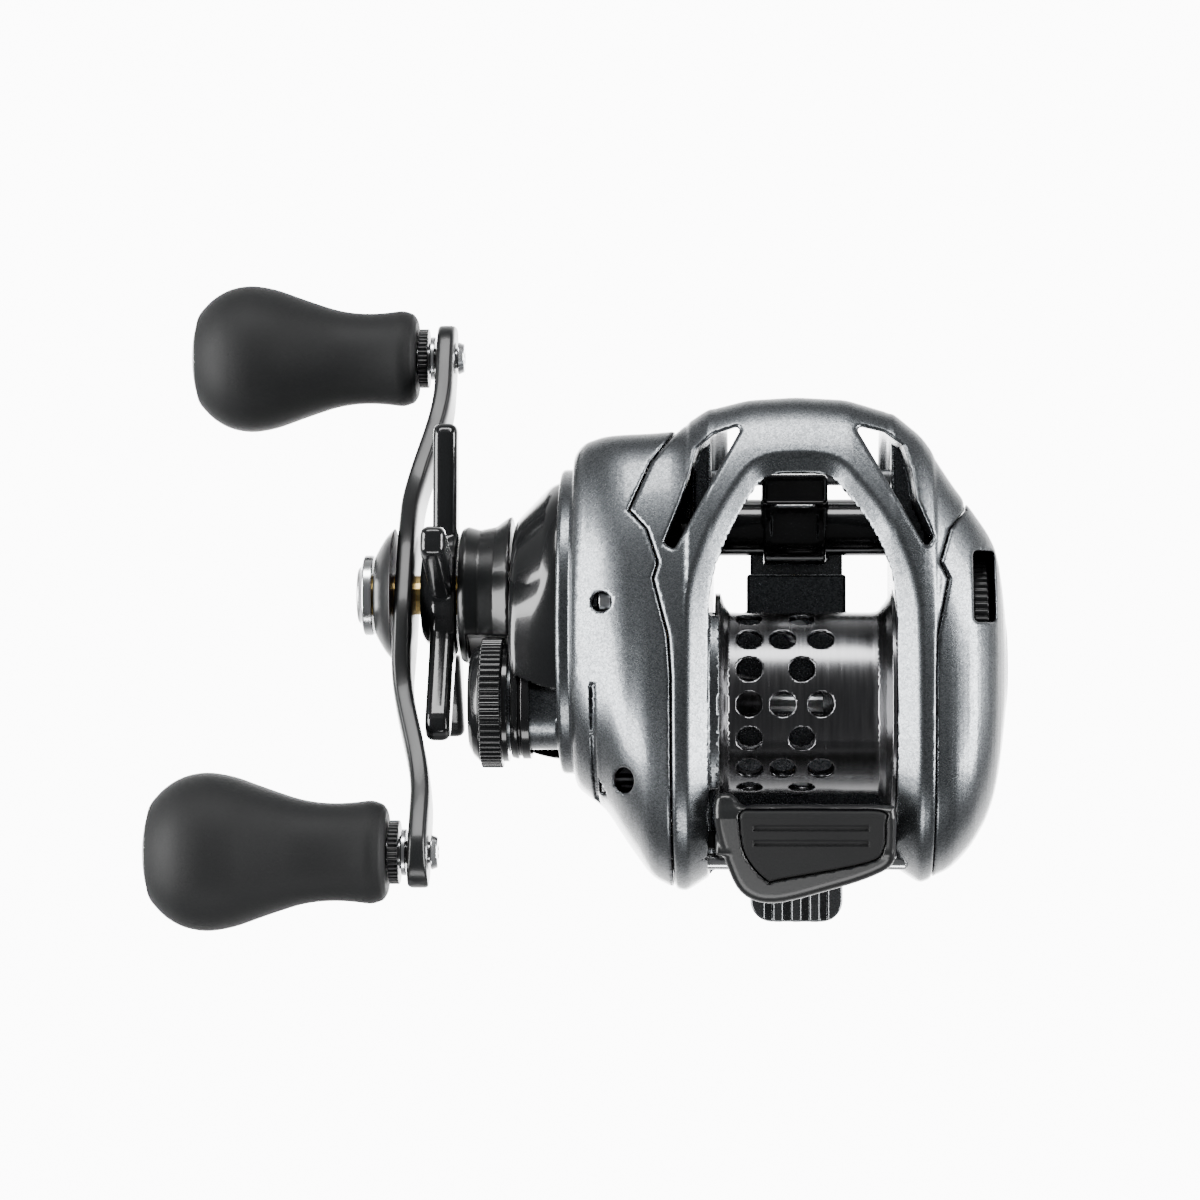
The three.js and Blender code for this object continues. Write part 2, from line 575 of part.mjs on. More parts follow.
addPart(handleGroup, 'handle_arm', handleArm(), BLACK_SATIN);
addPart(handleGroup, 'handle_nut', turned([
  [-64.5, 3.3], [-64.5, 6.1], [-63.8, 7.4], [-62.8, 9], [-61.6, 10.2], [-61.6, 3.3],
]), BLACK_SATIN);
addPart(handleGroup, 'nut_retainer', turned([
  [-67.2, 0], [-67.2, 4.1], [-66.6, 4.6], [-66.2, 6.1], [-64.8, 6.1], [-64.8, 3.3], [-66.2, 3.3], [-66.2, 0],
]), SILVER);

const ARM_OUT = ARM_END_X - ARM_THICK / 2;
const ARM_BODY_SIDE = ARM_END_X + ARM_THICK / 2;

[-1, 1].forEach((side, i) => {
  const knobGroup = new THREE.Group();
  knobGroup.position.y = side * CRANK_R;
  handleGroup.add(knobGroup);
  addPart(knobGroup, `knob_post_${i + 1}`, turned([
    [-93.2, 0], [-93.2, 2], [ARM_OUT - 1, 2], [ARM_OUT - 1, 3.4], [ARM_OUT - GAP, 3.4], [ARM_OUT - GAP, POST_R],
    [ARM_BODY_SIDE + GAP, POST_R], [ARM_BODY_SIDE + GAP, 2.6], [ARM_BODY_SIDE + 1.3, 2.2],
    [ARM_BODY_SIDE + 1.3, 0],
  ], 20), SILVER);
  addPart(knobGroup, `knob_collar_${i + 1}`, tube(-60.1, -58.6, 2.4, 4.65), BLACK_SATIN);
  addPart(knobGroup, `knob_grip_${i + 1}`, turned([
    [-60.4, 2.5], [-60.4, 6.1], [-61, 7], [-62.6, 7.4], [-66, 7.1], [-69.5, 7.25], [-73, 8], [-78, 9.6],
    [-83, 11.1], [-87, 11.5], [-90.4, 11], [-93, 9.4], [-94.8, 7.4], [-95.2, 6.6], [-93.6, 6.5], [-93.6, 2.5],
  ], 16), RUBBER);
  addPart(knobGroup, `knob_cap_${i + 1}`, turned([
    [-96.2, 0], [-96, 3.4], [-95.4, 5.8], [-94, 6.1], [-94, 0],
  ], 24), SILVER);
});

// ---- Spool --------------------------------------------------------------------------------

// Ports through the arbor: rings of holes at these x, turned by the given part of a step.
const PORT_R = 1.85;
const PORT_RINGS = [
  { x: -7.8, count: 16, turn: 0 },
  { x: -2.9, count: 8, turn: 0 },
  { x: -0.1, count: 8, turn: 0.5 },
  { x: 2.7, count: 8, turn: 0 },
];

function spool() {
  const shape = turned([
    [-13.3, SHAFT_R + GAP], [-13.3, 4], [-12, 5], [-12, 12.2], [-12.9, 15.4], [-12.9, FLANGE_R],
    [-12.2, FLANGE_R], [-10.7, ARBOR_R], [11, ARBOR_R], [13.1, FLANGE_R], [13.8, FLANGE_R], [13.8, 15.4],
    [11.6, 12.7], [-10.6, 12.7], [-10.6, 4.6], [-5, 3.4], [-5, SHAFT_R + GAP],
  ], 32);
  const ports = PORT_RINGS.flatMap(({ x, count, turn }) => Array.from({ length: count }, (_, i) => {
    const drill = new THREE.CylinderGeometry(PORT_R, PORT_R, 5, 8).translate(0, ARBOR_R, 0);
    return solid(drill.rotateX(((i + turn) / count) * 2 * Math.PI).translate(x, 0, 0));
  }));
  return ports.reduce((left, cut) => left.subtract(cut), shape);
}

const SPOOL_PIN_X = -14.9;

function crossBar(x, halfLength, r) {
  return solid(new THREE.CylinderGeometry(r, r, 2 * halfLength, 12).translate(x, 0, 0));
}

addPart(spoolGroup, 'spool', spool(), TITANIUM);
addPart(spoolGroup, 'spool_shaft', bar(-46.8, 18.6, SHAFT_R, 16)
  .subtract(crossBar(SPOOL_PIN_X, 3, 0.75)), STEEL);
addPart(spoolGroup, 'spool_pin', crossBar(SPOOL_PIN_X, 2.7, 0.55), STEEL);
addPart(spoolGroup, 'brake_inductor', turned([
  [3, SHAFT_R + GAP], [3, 8], [10, 8], [10, 7.4], [3.8, 7.4], [3.8, SHAFT_R + GAP],
]), SILVER);

// ---- Pinion, yoke and clutch cam ----------------------------------------------------------

function pinionGear() {
  const toothPhase = TO_SPOOL + Math.PI + Math.PI / PINION_TEETH;
  const teeth = plate(gearShape(PINION_TEETH, MAIN_MODULE, toothPhase), -30, -20.6);
  const ends = turned([
    [-34.5, 0], [-34.5, 2], [-29.9, 2], [-29.9, 1.8], [-20.8, 1.8], [-20.8, 3.6], [-19.9, 3.6],
    [-19.9, 2.75], [-18.3, 2.75], [-18.3, 3.6], [-14.3, 3.6], [-14.3, 0],
  ], 24);
  const slot = block(-15.7, -14, -4, 4, -0.85, 0.85);
  return teeth.add(ends).subtract(bar(-40, -10, SHAFT_R + 0.2, 20)).subtract(slot);
}

addPart(spoolGroup, 'pinion_gear', pinionGear(), BRASS);

// The fork's long axis runs square to the line of the two gear axes.
const yokeGroup = new THREE.Group();
yokeGroup.rotation.x = -YOKE_TURN;
spoolGroup.add(yokeGroup);

function clutchYoke() {
  const eyes = [-YOKE_POST_REACH, YOKE_POST_REACH].map((z) => barAt({ y: 0, z }, -30, 0, YOKE_POST_R + PIN_BORE, 12));
  const fork = plate(rounded(0.5, 0, 4.6, 10.8, 2), -19.6, -18.6, 3);
  const throat = block(-30, 0, -10, 0, -3.05, 3.05).add(bar(-30, 0, 3.05, 24));
  return [...eyes, throat].reduce((left, cut) => left.subtract(cut), fork);
}

addPart(yokeGroup, 'clutch_yoke', clutchYoke(), BLACK_SATIN);

function clutchCam() {
  const ring = bar(-17.9, -16.8, 7.1, 28);
  const lever = block(-17.9, -16.8, -20.4, -5, -1.1, 1.1);
  return ring.add(lever).subtract(bar(-20, -10, 5.3, 28));
}

addPart(spoolGroup, 'clutch_cam', clutchCam(), STEEL);

// ---- Thumb bar ----------------------------------------------------------------------------

// A pad that slopes down behind the spool, with a leg at each end. The left leg carries a
// tongue through the wall that presses on the clutch cam's lever.
function thumbBar() {
  const side = polygon([
    [-13.4, 38.2], [-14.6, 39.8], [-16.4, 39.9], [-27.2, 34.2], [-27.6, 32.8], [-26.4, 32.1], [-17, 36.2],
  ]);
  const pad = plate(side, -10.6, 12.2);
  const leftLeg = block(-12.7, -10.5, -22, -18.8, 24, 36.9);
  const rightLeg = block(10.9, 12.9, -22, -18.8, 24, 36.9);
  const tongue = block(-18.3, -12.6, -21.6, -18.9, 24.2, 27);
  return [leftLeg, rightLeg, tongue].reduce((whole, more) => whole.add(more), pad);
}

addPart(group, 'thumb_bar', thumbBar(), BLACK_SATIN);

// The soft pad lies on the bar's slope; two grooves give the thumb a hold.
function thumbPad() {
  const angle = Math.atan2(39.9 - 34.2, 27.2 - 16.4);
  const pad = new THREE.BoxGeometry(17.6, 9.2, 0.9);
  const grooves = [1.2, 3.2].map((y) => new THREE.BoxGeometry(15, 0.7, 0.8).translate(0, y, 0.5));
  const place = (geometry) => solid(geometry.rotateX(angle).translate(0.8, -22.2, 37.75));
  return grooves.map(place).reduce((left, cut) => left.subtract(cut), place(pad));
}

addPart(group, 'thumb_pad', thumbPad(), RUBBER);

// ---- Level wind ---------------------------------------------------------------------------

addPart(wormGroup, 'worm_shaft', turned([
  [-21, 0], [-21, 1.5], [-12.6, 1.5], [-12.6, 2.7], [12.8, 2.7], [12.8, 1.5], [16, 1.5], [16, 0],
]), STEEL);
addPart(wormGroup, 'worm_gear', plate(
  gearShape(WORM_TEETH, WIND_MODULE, TO_WORM + Math.PI + Math.PI / WORM_TEETH), -20.6, -18.2)
  .subtract(bar(-30, -10, 1.8, 20)), RUBBER);
addPart(wormGroup, 'worm_bushing', tube(-16.2, -13.2, 1.8, 3.3), BRASS);
addPart(wormGroup, 'level_wind_tube', tube(-12.9, 13, 3.1, 4.3, 32)
  .subtract(block(-11.5, 11.6, -1.1, 1.1, -6, 0)), BLACK_GLOSS);
const rail = addPart(group, 'guide_rail', bar(-15.3, 15.3, ROD_R, 14), STEEL);
rail.position.set(0, RAIL_AXIS.y, RAIL_AXIS.z);
const pillar = addPart(group, 'rear_pillar', bar(-15.3, 15.3, ROD_R, 14), SILVER);
pillar.position.set(0, REAR_PILLAR_AXIS.y, REAR_PILLAR_AXIS.z);

const GUIDE = { x0: -6, x1: 3.8, y0: 20.9, y1: 36.2 };

function lineGuide() {
  const barrel = barAt(WORM_AXIS, GUIDE.x0, GUIDE.x1, 5.7, 28);
  const saddle = block(GUIDE.x0, GUIDE.x1, 26.5, 31, 9, 15.6);
  const railLug = block(GUIDE.x0, GUIDE.x1, 29, GUIDE.y1, 10.2, 14.6);
  const eyeFrame = block(GUIDE.x0, GUIDE.x1, 29.5, 34, 14, 25);
  const cuts = [
    barAt(WORM_AXIS, -20, 20, 4.6, 32),
    barAt(RAIL_AXIS, -20, 20, ROD_R + PIN_BORE, 14),
    block(-4.6, 2.4, 20, 40, 15.8, 23.4),
    pawlBore(),
  ];
  const whole = [saddle, railLug, eyeFrame].reduce((all, more) => all.add(more), barrel);
  return cuts.reduce((left, cut) => left.subtract(cut), whole);
}

const PAWL_X = (GUIDE.x0 + GUIDE.x1) / 2;
const PAWL_R = 0.8;

function pawlBore() {
  const geometry = new THREE.CylinderGeometry(PAWL_R + PIN_BORE, PAWL_R + PIN_BORE, 6, 14);
  return solid(geometry.rotateX(Math.PI / 2).translate(PAWL_X, WORM_AXIS.y, 4));
}

function guideEye() {
  return block(-4.3, 2.1, 29.2, 34.3, 16.1, 23.1).subtract(block(-3.5, 1.3, 20, 40, 16.9, 22.3));
}

addPart(group, 'line_guide', lineGuide(), BLACK_GLOSS);
addPart(group, 'guide_eye', guideEye(), SILVER);
const pawlProfile = [[3.4, 0], [3.4, 1.6], [4.2, 1.6], [4.2, PAWL_R], [7.4, PAWL_R], [7.4, 0]];
const pawlPoints = pawlProfile.map(([z, r]) => new THREE.Vector2(r, z));
const pawl = addPart(group, 'pawl', solid(new THREE.LatheGeometry(pawlPoints, 14).rotateX(Math.PI / 2)), BRASS);
pawl.position.set(PAWL_X, WORM_AXIS.y, 0);

// ---- Palm side: cover, brake and dial -------------------------------------------------------

const DIAL = { y: 9, z: 20.6, r: 13.4, x0: 24.9, x1: 27.3 };

function palmSideCover() {
  const shell = envelope(RING_OUT + GAP, PALM_END, 0, 8, roundOver)
    .subtract(envelope(RING_OUT - 1, PALM_END - SKIN, SKIN, 6, roundOver));
  const pivot = barAt(DIAL, 24.4, 29.4, 2, 16);
  const dialRoom = barAt(DIAL, DIAL.x0 - GAP, DIAL.x1 + GAP, DIAL.r + GAP, 40).subtract(barAt(DIAL, 20, 40, 2, 16));
  const window = block(DIAL.x0 - GAP, DIAL.x1 + 0.9, 12, 22.6, 22, 60);
  return shell.add(pivot).subtract(dialRoom).subtract(window);
}

addPart(group, 'palm_side_cover', palmSideCover(), BODY_PAINT);

function brakeCase() {
  return turned([
    [14.5, 4.4], [14.5, 16.4], [18.9, 16.4], [18.9, 15.3], [15.8, 15.3], [15.8, 6],
    [18.9, 6], [18.9, 4.4],
  ], 28);
}

addPart(spoolGroup, 'brake_case', brakeCase(), BLACK_SATIN);
addPart(spoolGroup, 'magnet_ring', tube(6.4, 14.2, 9, 11.2), STEEL);
addPart(spoolGroup, 'spool_bearing_palm', tube(15.9, 18.3, SHAFT_R + 0.25, 4.1), STEEL);

const dial = addPart(group, 'brake_dial', plate(knurl(DIAL.r, 0.5, 36), DIAL.x0, DIAL.x1)
  .subtract(bar(20, 30, 2.3, 16)), BLACK_SATIN);
dial.position.set(0, DIAL.y, DIAL.z);

export default group;
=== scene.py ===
# Low-profile baitcasting reel with left-hand retrieve, put together from its frame outward.
# Metres throughout; lengths written as millimetres are multiplied by MM.
import math
import bpy
import numpy as np
from mathutils import Matrix, Vector


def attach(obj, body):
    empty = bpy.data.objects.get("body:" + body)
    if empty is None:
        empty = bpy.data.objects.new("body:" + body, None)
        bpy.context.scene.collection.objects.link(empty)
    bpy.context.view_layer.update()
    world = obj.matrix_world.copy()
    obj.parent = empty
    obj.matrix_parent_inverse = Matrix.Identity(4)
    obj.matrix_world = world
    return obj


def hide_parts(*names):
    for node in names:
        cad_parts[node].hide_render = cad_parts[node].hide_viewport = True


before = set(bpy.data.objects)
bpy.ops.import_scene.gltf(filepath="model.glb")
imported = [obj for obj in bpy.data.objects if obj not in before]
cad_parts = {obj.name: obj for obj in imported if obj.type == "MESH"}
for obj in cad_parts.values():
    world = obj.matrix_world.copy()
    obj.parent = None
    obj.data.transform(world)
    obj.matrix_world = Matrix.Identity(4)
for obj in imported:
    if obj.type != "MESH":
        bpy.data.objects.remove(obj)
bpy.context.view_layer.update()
MM = 0.001


# ---- Frame ----
# One piece of die-cast and machined magnesium, painted in metallic grey: the gear-side wall,
# the palm-side ring, the hood with its arch over the line guide, the floor and the rear beam.
# The plates are screwed and bayoneted to its two sides.

FRAME_STEP = 0.44                     # grid the frame's surface is worked out on, mm
SKIN_DEPTH = 2.3                      # thickness of the hood
BEVEL_WIDTH = 3.1                     # slope round the arch's opening
# Reach of the body forward, rearward, up and down, at stations across it.
BODY_X = [-34.0, -32.8, -29.4, -26.6, -22.6, -18.4, -13.7, -8.0, -1.0, 6.4, 13.1,
          17.6, 22.1, 25.2, 28.0, 29.5, 30.4]
BODY_FRONT = [36.8, 38.6, 39.7, 39.9, 40.0, 40.3, 43.4, 44.8, 45.2, 44.8, 42.8,
              39.1, 32.2, 28.2, 24.2, 20.2, 10.5]
BODY_REAR = [-12.8, -13.8, -16.2, -20.6, -26.2, -28.2, -28.4, -28.2, -27.8, -27.4, -27.0,
             -26.8, -24.8, -21.4, -16.2, -9.8, 0.0]
BODY_TOP = [36.2, 37.6, 39.6, 41.0, 42.2, 43.0, 43.4, 43.6, 43.6, 43.5, 42.9,
            42.4, 41.2, 39.6, 36.4, 32.2, 25.5]
BODY_BOTTOM = [-5.6, -5.9, -6.0, -5.8, -5.0, -3.8, -3.0, -2.6, -2.4, -2.4, -2.2,
               -1.8, -0.4, 1.4, 4.8, 9.0, 16.0]
BROW_RISE = 0.24                      # lift of the widest line at the nose, in body heights
WALL_FACE = -13.6                     # inner faces of the wall and the ring
RING_FACE = 13.3
SPOOL_AXIS = (0.0, 22.0)              # y and z of the axes that run across the reel
WORM_AXIS = (26.5, 10.5)


def eased(x, values, spread=1.1):
    """The station values at x, rounded off by averaging the straight runs over a short spread."""
    total = 0.0
    for shift, weight in ((-1.0, 0.15), (-0.5, 0.2), (0.0, 0.3), (0.5, 0.2), (1.0, 0.15)):
        total = total + weight * np.interp(x + shift * spread, BODY_X, values)
    return total


def body_gauge(x, y, z):
    """1 on the body's surface, less inside: the power mean of how far (y, z) lies out towards the
    section's front, rear, top and bottom, where the middle line lifts towards the nose."""
    front, rear = eased(x, BODY_FRONT), eased(x, BODY_REAR)
    top, bottom = eased(x, BODY_TOP), eased(x, BODY_BOTTOM)
    u = (y - (front + rear) / 2) / ((front - rear) / 2)
    ahead = np.clip(u, 0, 1.2)
    middle = bottom + (top - bottom) * (0.42 + BROW_RISE * np.minimum(ahead, 1) ** 1.5)
    upper = np.clip(z - middle, 0, None) / ((top - middle) * (1 - 0.12 * ahead ** 1.4))
    lower = np.clip(middle - z, 0, None) / (middle - bottom)
    size = np.abs(u) ** 2.5 + upper ** 2.222 + lower ** 2.778
    return np.maximum(size, 1e-9) ** 0.4


def body_depth(x, y, z):
    """Distance to the body's surface, negative inside: gauge less 1, over the gauge's slope."""
    here, nudge = body_gauge(x, y, z), 0.3
    slope_y = (body_gauge(x, y + nudge, z) - here) / nudge
    slope_z = (body_gauge(x, y, z + nudge) - here) / nudge
    slope_x = (body_gauge(x + nudge, y, z) - here) / nudge
    return (here - 1) / np.maximum(np.sqrt(slope_x ** 2 + slope_y ** 2 + slope_z ** 2), 0.012)


def both(a, b, fillet=0.5):
    """Where both solids are, with a fillet of that size along the meeting edge."""
    overlap = np.clip(fillet - np.abs(a - b), 0, None) / fillet
    return np.maximum(a, b) + overlap ** 2 * fillet / 4


def either(a, b, fillet=0.5):
    """Where either solid is, with a fillet of that size in the corner."""
    return -both(-a, -b, fillet)


def without(a, b, fillet=0.5):
    """The first solid with the second cut away."""
    return both(a, -b, fillet)


def box_field(x, y, z, low, high, corner=0.6):
    """Distance to a box with rounded edges: how far past each pair of faces, taken together."""
    middle = [(a + b) / 2 for a, b in zip(low, high)]
    reach = [(b - a) / 2 - corner for a, b in zip(low, high)]
    past = [np.abs(c - m) - r for c, m, r in zip((x, y, z), middle, reach)]
    outside = np.sqrt(sum(np.clip(p, 0, None) ** 2 for p in past))
    return outside + np.minimum(np.maximum(np.maximum(past[0], past[1]), past[2]), 0) - corner


def radius_from(axis, y, z):
    """Distance from an axis that runs across the reel."""
    return np.hypot(y - axis[0], z - axis[1])


def rod_field(x, y, z, axis, x0, x1, radius):
    """Distance to a cylinder along X: radial and end distances, whichever is the greater."""
    radial = radius_from(axis, y, z) - radius
    return np.maximum(radial, np.maximum(x0 - x, x - x1))


def outline_field(u, v, corners):
    """Distance to a closed outline: the nearest of its straight sides, negative inside by an
    even-odd count of the sides crossed."""
    corners = np.asarray(corners, float)
    nearest = np.full(np.shape(u), 1e9)
    crossed = np.zeros(np.shape(u), bool)
    for a, b in zip(corners, np.roll(corners, -1, axis=0)):
        run = b - a
        along = np.clip(((u - a[0]) * run[0] + (v - a[1]) * run[1]) / (run @ run), 0, 1)
        nearest = np.minimum(nearest, np.hypot(u - a[0] - along * run[0],
                                               v - a[1] - along * run[1]))
        spans = (a[1] > v) != (b[1] > v)
        crossed ^= spans & (u < a[0] + (v - a[1]) * run[0] / (run[1] if run[1] else 1e-9))
    return np.where(crossed, -nearest, nearest)


def rounded_outline(points, steps=6):
    """A closed smooth curve through the points, each stretch a Catmull-Rom blend of four."""
    p = np.asarray(points, float)
    before, after, beyond = np.roll(p, 1, 0), np.roll(p, -1, 0), np.roll(p, -2, 0)
    t = np.linspace(0, 1, steps, endpoint=False)[None, :, None]
    p, before, after, beyond = (q[:, None, :] for q in (p, before, after, beyond))
    curve = 0.5 * (2 * p + (after - before) * t + (2 * before - 5 * p + 4 * after - beyond) * t ** 2
                   + (3 * p - before - 3 * after + beyond) * t ** 3)
    return curve.reshape(-1, 2)


def mesh_piece(name, points, faces, body, look, nodes=(), normals=None):
    """A mesh object from points in mm and arrays of faces, riding on a body. Its look is a slot's
    name, which is not used, and the material made for it."""
    slot, material = look
    mesh = bpy.data.meshes.new(name)
    totals = np.concatenate([np.full(len(f), f.shape[1], np.int32) for f in faces])
    corners = np.concatenate([f.ravel() for f in faces]).astype(np.int32)
    mesh.vertices.add(len(points))
    mesh.vertices.foreach_set("co", (np.asarray(points, np.float32) * MM).ravel())
    mesh.loops.add(len(corners))
    mesh.loops.foreach_set("vertex_index", corners)
    mesh.polygons.add(len(totals))
    mesh.polygons.foreach_set("loop_start", (np.cumsum(totals) - totals).astype(np.int32))
    mesh.polygons.foreach_set("loop_total", totals)
    mesh.polygons.foreach_set("use_smooth", np.ones(len(totals), bool))
    mesh.update(calc_edges=True)
    mesh.validate()
    if normals is not None:
        mesh.normals_split_custom_set_from_vertices(normals.astype(float).tolist())
    piece = bpy.data.objects.new(name, mesh)
    bpy.context.scene.collection.objects.link(piece)
    mesh.materials.append(material)
    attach(piece, body)
    if nodes:
        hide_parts(*nodes)


def slope_of(field, points, nudge=0.04):
    """The field's slope at each point, from its values a short way to either side."""
    x, y, z = points.T
    return np.stack([field(x + nudge, y, z) - field(x - nudge, y, z),
                     field(x, y + nudge, z) - field(x, y - nudge, z),
                     field(x, y, z + nudge) - field(x, y, z - nudge)], 1) / (2 * nudge)


BLOCK_SIDE = 6                        # grid points along a block that is worked out at once
BATCH = 3000                          # blocks worked out together
NEAR = 1.35                           # how near the surface a block's middle is, in block sides


def carved(name, field, low, high, step, body, look, nodes=()):
    """The closed surface where field is 0. The box is cut into cubes; each cube that the surface
    crosses gets one point, drawn onto the surface down the field's slope, and each cube edge
    that it crosses gets a face of the four points round that edge. The field is worked out in
    full only in the blocks of cubes whose middle is near the surface."""
    side = BLOCK_SIDE
    blocks = [int(math.ceil((b - a) / step / side)) for a, b in zip(low, high)]
    counts = [n * side for n in blocks]
    middles = [a + step * (side * np.arange(n) + (side - 1) / 2) for a, n in zip(low, blocks)]
    coarse = field(*np.meshgrid(*middles, indexing="ij"))
    values = np.empty((blocks[0], side, blocks[1], side, blocks[2], side), np.float32)
    values[:] = coarse[:, None, :, None, :, None]
    bi, bj, bk = np.nonzero(np.abs(coarse) < step * side * NEAR + 0.6)
    local = np.arange(side)
    for part in np.array_split(np.arange(len(bi)), max(1, len(bi) // BATCH)):
        starts = [b[part][:, None] * side + local for b in (bi, bj, bk)]
        near = [a + step * s for a, s in zip(low, starts)]
        spread = (near[0][:, :, None, None], near[1][:, None, :, None], near[2][:, None, None, :])
        values[bi[part], :, bj[part], :, bk[part], :] = field(
            *(c + np.zeros((1, side, side, side)) for c in spread))
    values = values.reshape(counts)
    solid = values < 0
    cells = tuple(n - 1 for n in counts)
    corner_count = sum(solid[i:i + cells[0], j:j + cells[1], k:k + cells[2]].astype(np.uint8)
                       for i in (0, 1) for j in (0, 1) for k in (0, 1))
    used = (corner_count > 0) & (corner_count < 8)
    number = np.full(cells, -1, np.int64)
    number[used] = np.arange(used.sum())
    at = np.argwhere(used)
    centre = np.asarray(low) + step * (at + 0.5)
    total, hits = np.zeros((len(at), 3)), np.zeros((len(at), 1))
    for axis in range(3):
        for offset in np.ndindex(2, 2):
            start = np.insert(np.array(offset), axis, 0)
            end = np.insert(np.array(offset), axis, 1)
            a = values[tuple((at + start).T)]
            b = values[tuple((at + end).T)]
            cut = (a < 0) != (b < 0)
            share = np.where(cut, a / np.where(cut, a - b, 1), 0)[:, None]
            total += np.where(cut[:, None], at + start + share * (end - start), 0)
            hits += cut[:, None]
    points = np.asarray(low) + step * total / np.maximum(hits, 1)
    for _ in range(3):
        slope = slope_of(field, points)
        value = field(*points.T)
        move = -(value / np.maximum((slope ** 2).sum(1), 0.2))[:, None] * slope
        points = points + np.clip(move, -0.5 * step, 0.5 * step)
        points = np.clip(points, centre - 0.7 * step, centre + 0.7 * step)
    slope = slope_of(field, points)
    normals = slope / np.maximum(np.linalg.norm(slope, axis=1, keepdims=True), 1e-9)
    faces = []
    for axis in range(3):
        a, b = (axis + 1) % 3, (axis + 2) % 3
        lead = [slice(1, -1)] * 3
        lead[axis] = slice(0, -1)
        trail = list(lead)
        trail[axis] = slice(1, None)
        cut = solid[tuple(lead)] != solid[tuple(trail)]
        edge = np.argwhere(cut) + np.array([0 if i == axis else 1 for i in range(3)])
        step_a, step_b = np.eye(3, dtype=int)[a], np.eye(3, dtype=int)[b]
        ring = [edge - step_a - step_b, edge - step_b, edge, edge - step_a]
        quad = np.stack([number[tuple(r.T)] for r in ring], 1)
        outward = solid[tuple(edge.T)]
        faces.append(np.where(outward[:, None], quad, quad[:, ::-1]))
    mesh_piece(name, points, faces, body, look, nodes, normals)


class Sock:
    """A shader socket that takes part in Python expressions; each operator adds its Math node."""

    def __init__(self, tree, socket):
        self.tree = tree
        self.socket = socket

    def node(self, kind, settings=None, output=0, **inputs):
        """A node of that type: its settings first, then values or links by the socket's name, or
        by its number after the letter i."""
        made = self.tree.nodes.new(kind)
        for key, value in (settings or {}).items():
            if key == "stops":
                ramp = made.color_ramp.elements
                while len(ramp) < len(value):
                    ramp.new(1.0)
                for stop, (place, colour) in zip(ramp, value):
                    stop.position = place
                    stop.color = colour
            else:
                setattr(made, key, value)
        for key, value in inputs.items():
            target = made.inputs[int(key[1:]) if key[1:].isdigit() else key.replace("_", " ")]
            if isinstance(value, Sock):
                self.tree.links.new(value.socket, target)
            else:
                target.default_value = value
        return Sock(self.tree, made.outputs[output])

    def math(self, operation, *operands):
        inputs = {f"i{i}": operand for i, operand in enumerate(operands)}
        return self.node("ShaderNodeMath", {"operation": operation}, **inputs)

    def __add__(self, other):
        return self.math("ADD", self, other)

    def __sub__(self, other):
        return self.math("SUBTRACT", self, other)

    def __rsub__(self, other):
        return self.math("SUBTRACT", other, self)

    def __mul__(self, other):
        return self.math("MULTIPLY", self, other)

    __radd__ = __add__
    __rmul__ = __mul__

    def clamp(self, low=0.0, high=1.0):
        return self.math("MINIMUM", self.math("MAXIMUM", self, low), high)

    def mix(self, dark, light):
        """Colour between dark at 0 and light at 1."""
        inputs = {"Factor": self, "i6": dark, "i7": light}
        return self.node("ShaderNodeMix", {"data_type": "RGBA"}, output=2, **inputs)


def coat_of(name, constants):
    """A material with its constant sockets set, its coordinates, and a way to feed the rest."""
    material = bpy.data.materials.new(name)
    material.use_nodes = True
    tree = material.node_tree
    shader = tree.nodes["Principled BSDF"]
    for key, value in constants.items():
        shader.inputs[key].default_value = value
    place = Sock(tree, tree.nodes.new("ShaderNodeTexCoord").outputs["Object"])

    def feed(key, value):
        tree.links.new(value.socket, shader.inputs[key])

    return material, place, feed


def flake_paint(name, dark=(0.035, 0.039, 0.043, 1), light=(0.17, 0.18, 0.19, 1)):
    """Grey paint with aluminium flakes under a clear coat: each small cell is one flake, with its
    own brightness and a slight tilt."""
    material, place, feed = coat_of(name, {"Metallic": 0.95, "Coat Roughness": 0.05,
                                           "Coat IOR": 1.45})
    flakes = place.node("ShaderNodeTexVoronoi", {"feature": "F1"}, output=1, Vector=place,
                        Scale=5200.0)
    glint = flakes.node("ShaderNodeSeparateColor", Color=flakes)
    cloud = place.node("ShaderNodeTexNoise", Vector=place, Scale=70.0, Detail=3.0)
    shade = (glint * 0.7 + cloud * 0.3).clamp()
    feed("Base Color", shade.mix(dark, light))
    feed("Roughness", 0.3 - glint * 0.06 + cloud * 0.05)
    feed("Coat Weight", cloud * 0.2 + 0.3)
    tilt = place.node("ShaderNodeBump", Height=glint, Strength=0.08, Distance=0.00004)
    feed("Normal", tilt)
    return "body_paint", material


body_paint = flake_paint("flake_paint")

# The seams run front to rear; towards the front they jog outward round the hood's feet.
SEAM_Y = [-40.0, 4.0, 10.0, 18.2, 20.6, 25.5, 28.3, 35.3, 40.3, 60.0]
LEFT_SEAM = [-19.0, -19.0, -19.4, -21.6, -20.9, -22.6, -25.2, -22.2, -18.4, -9.0]
RIGHT_SEAM = [19.0, 19.0, 19.3, 21.0, 19.8, 21.3, 23.7, 24.6, 24.9, 25.0]

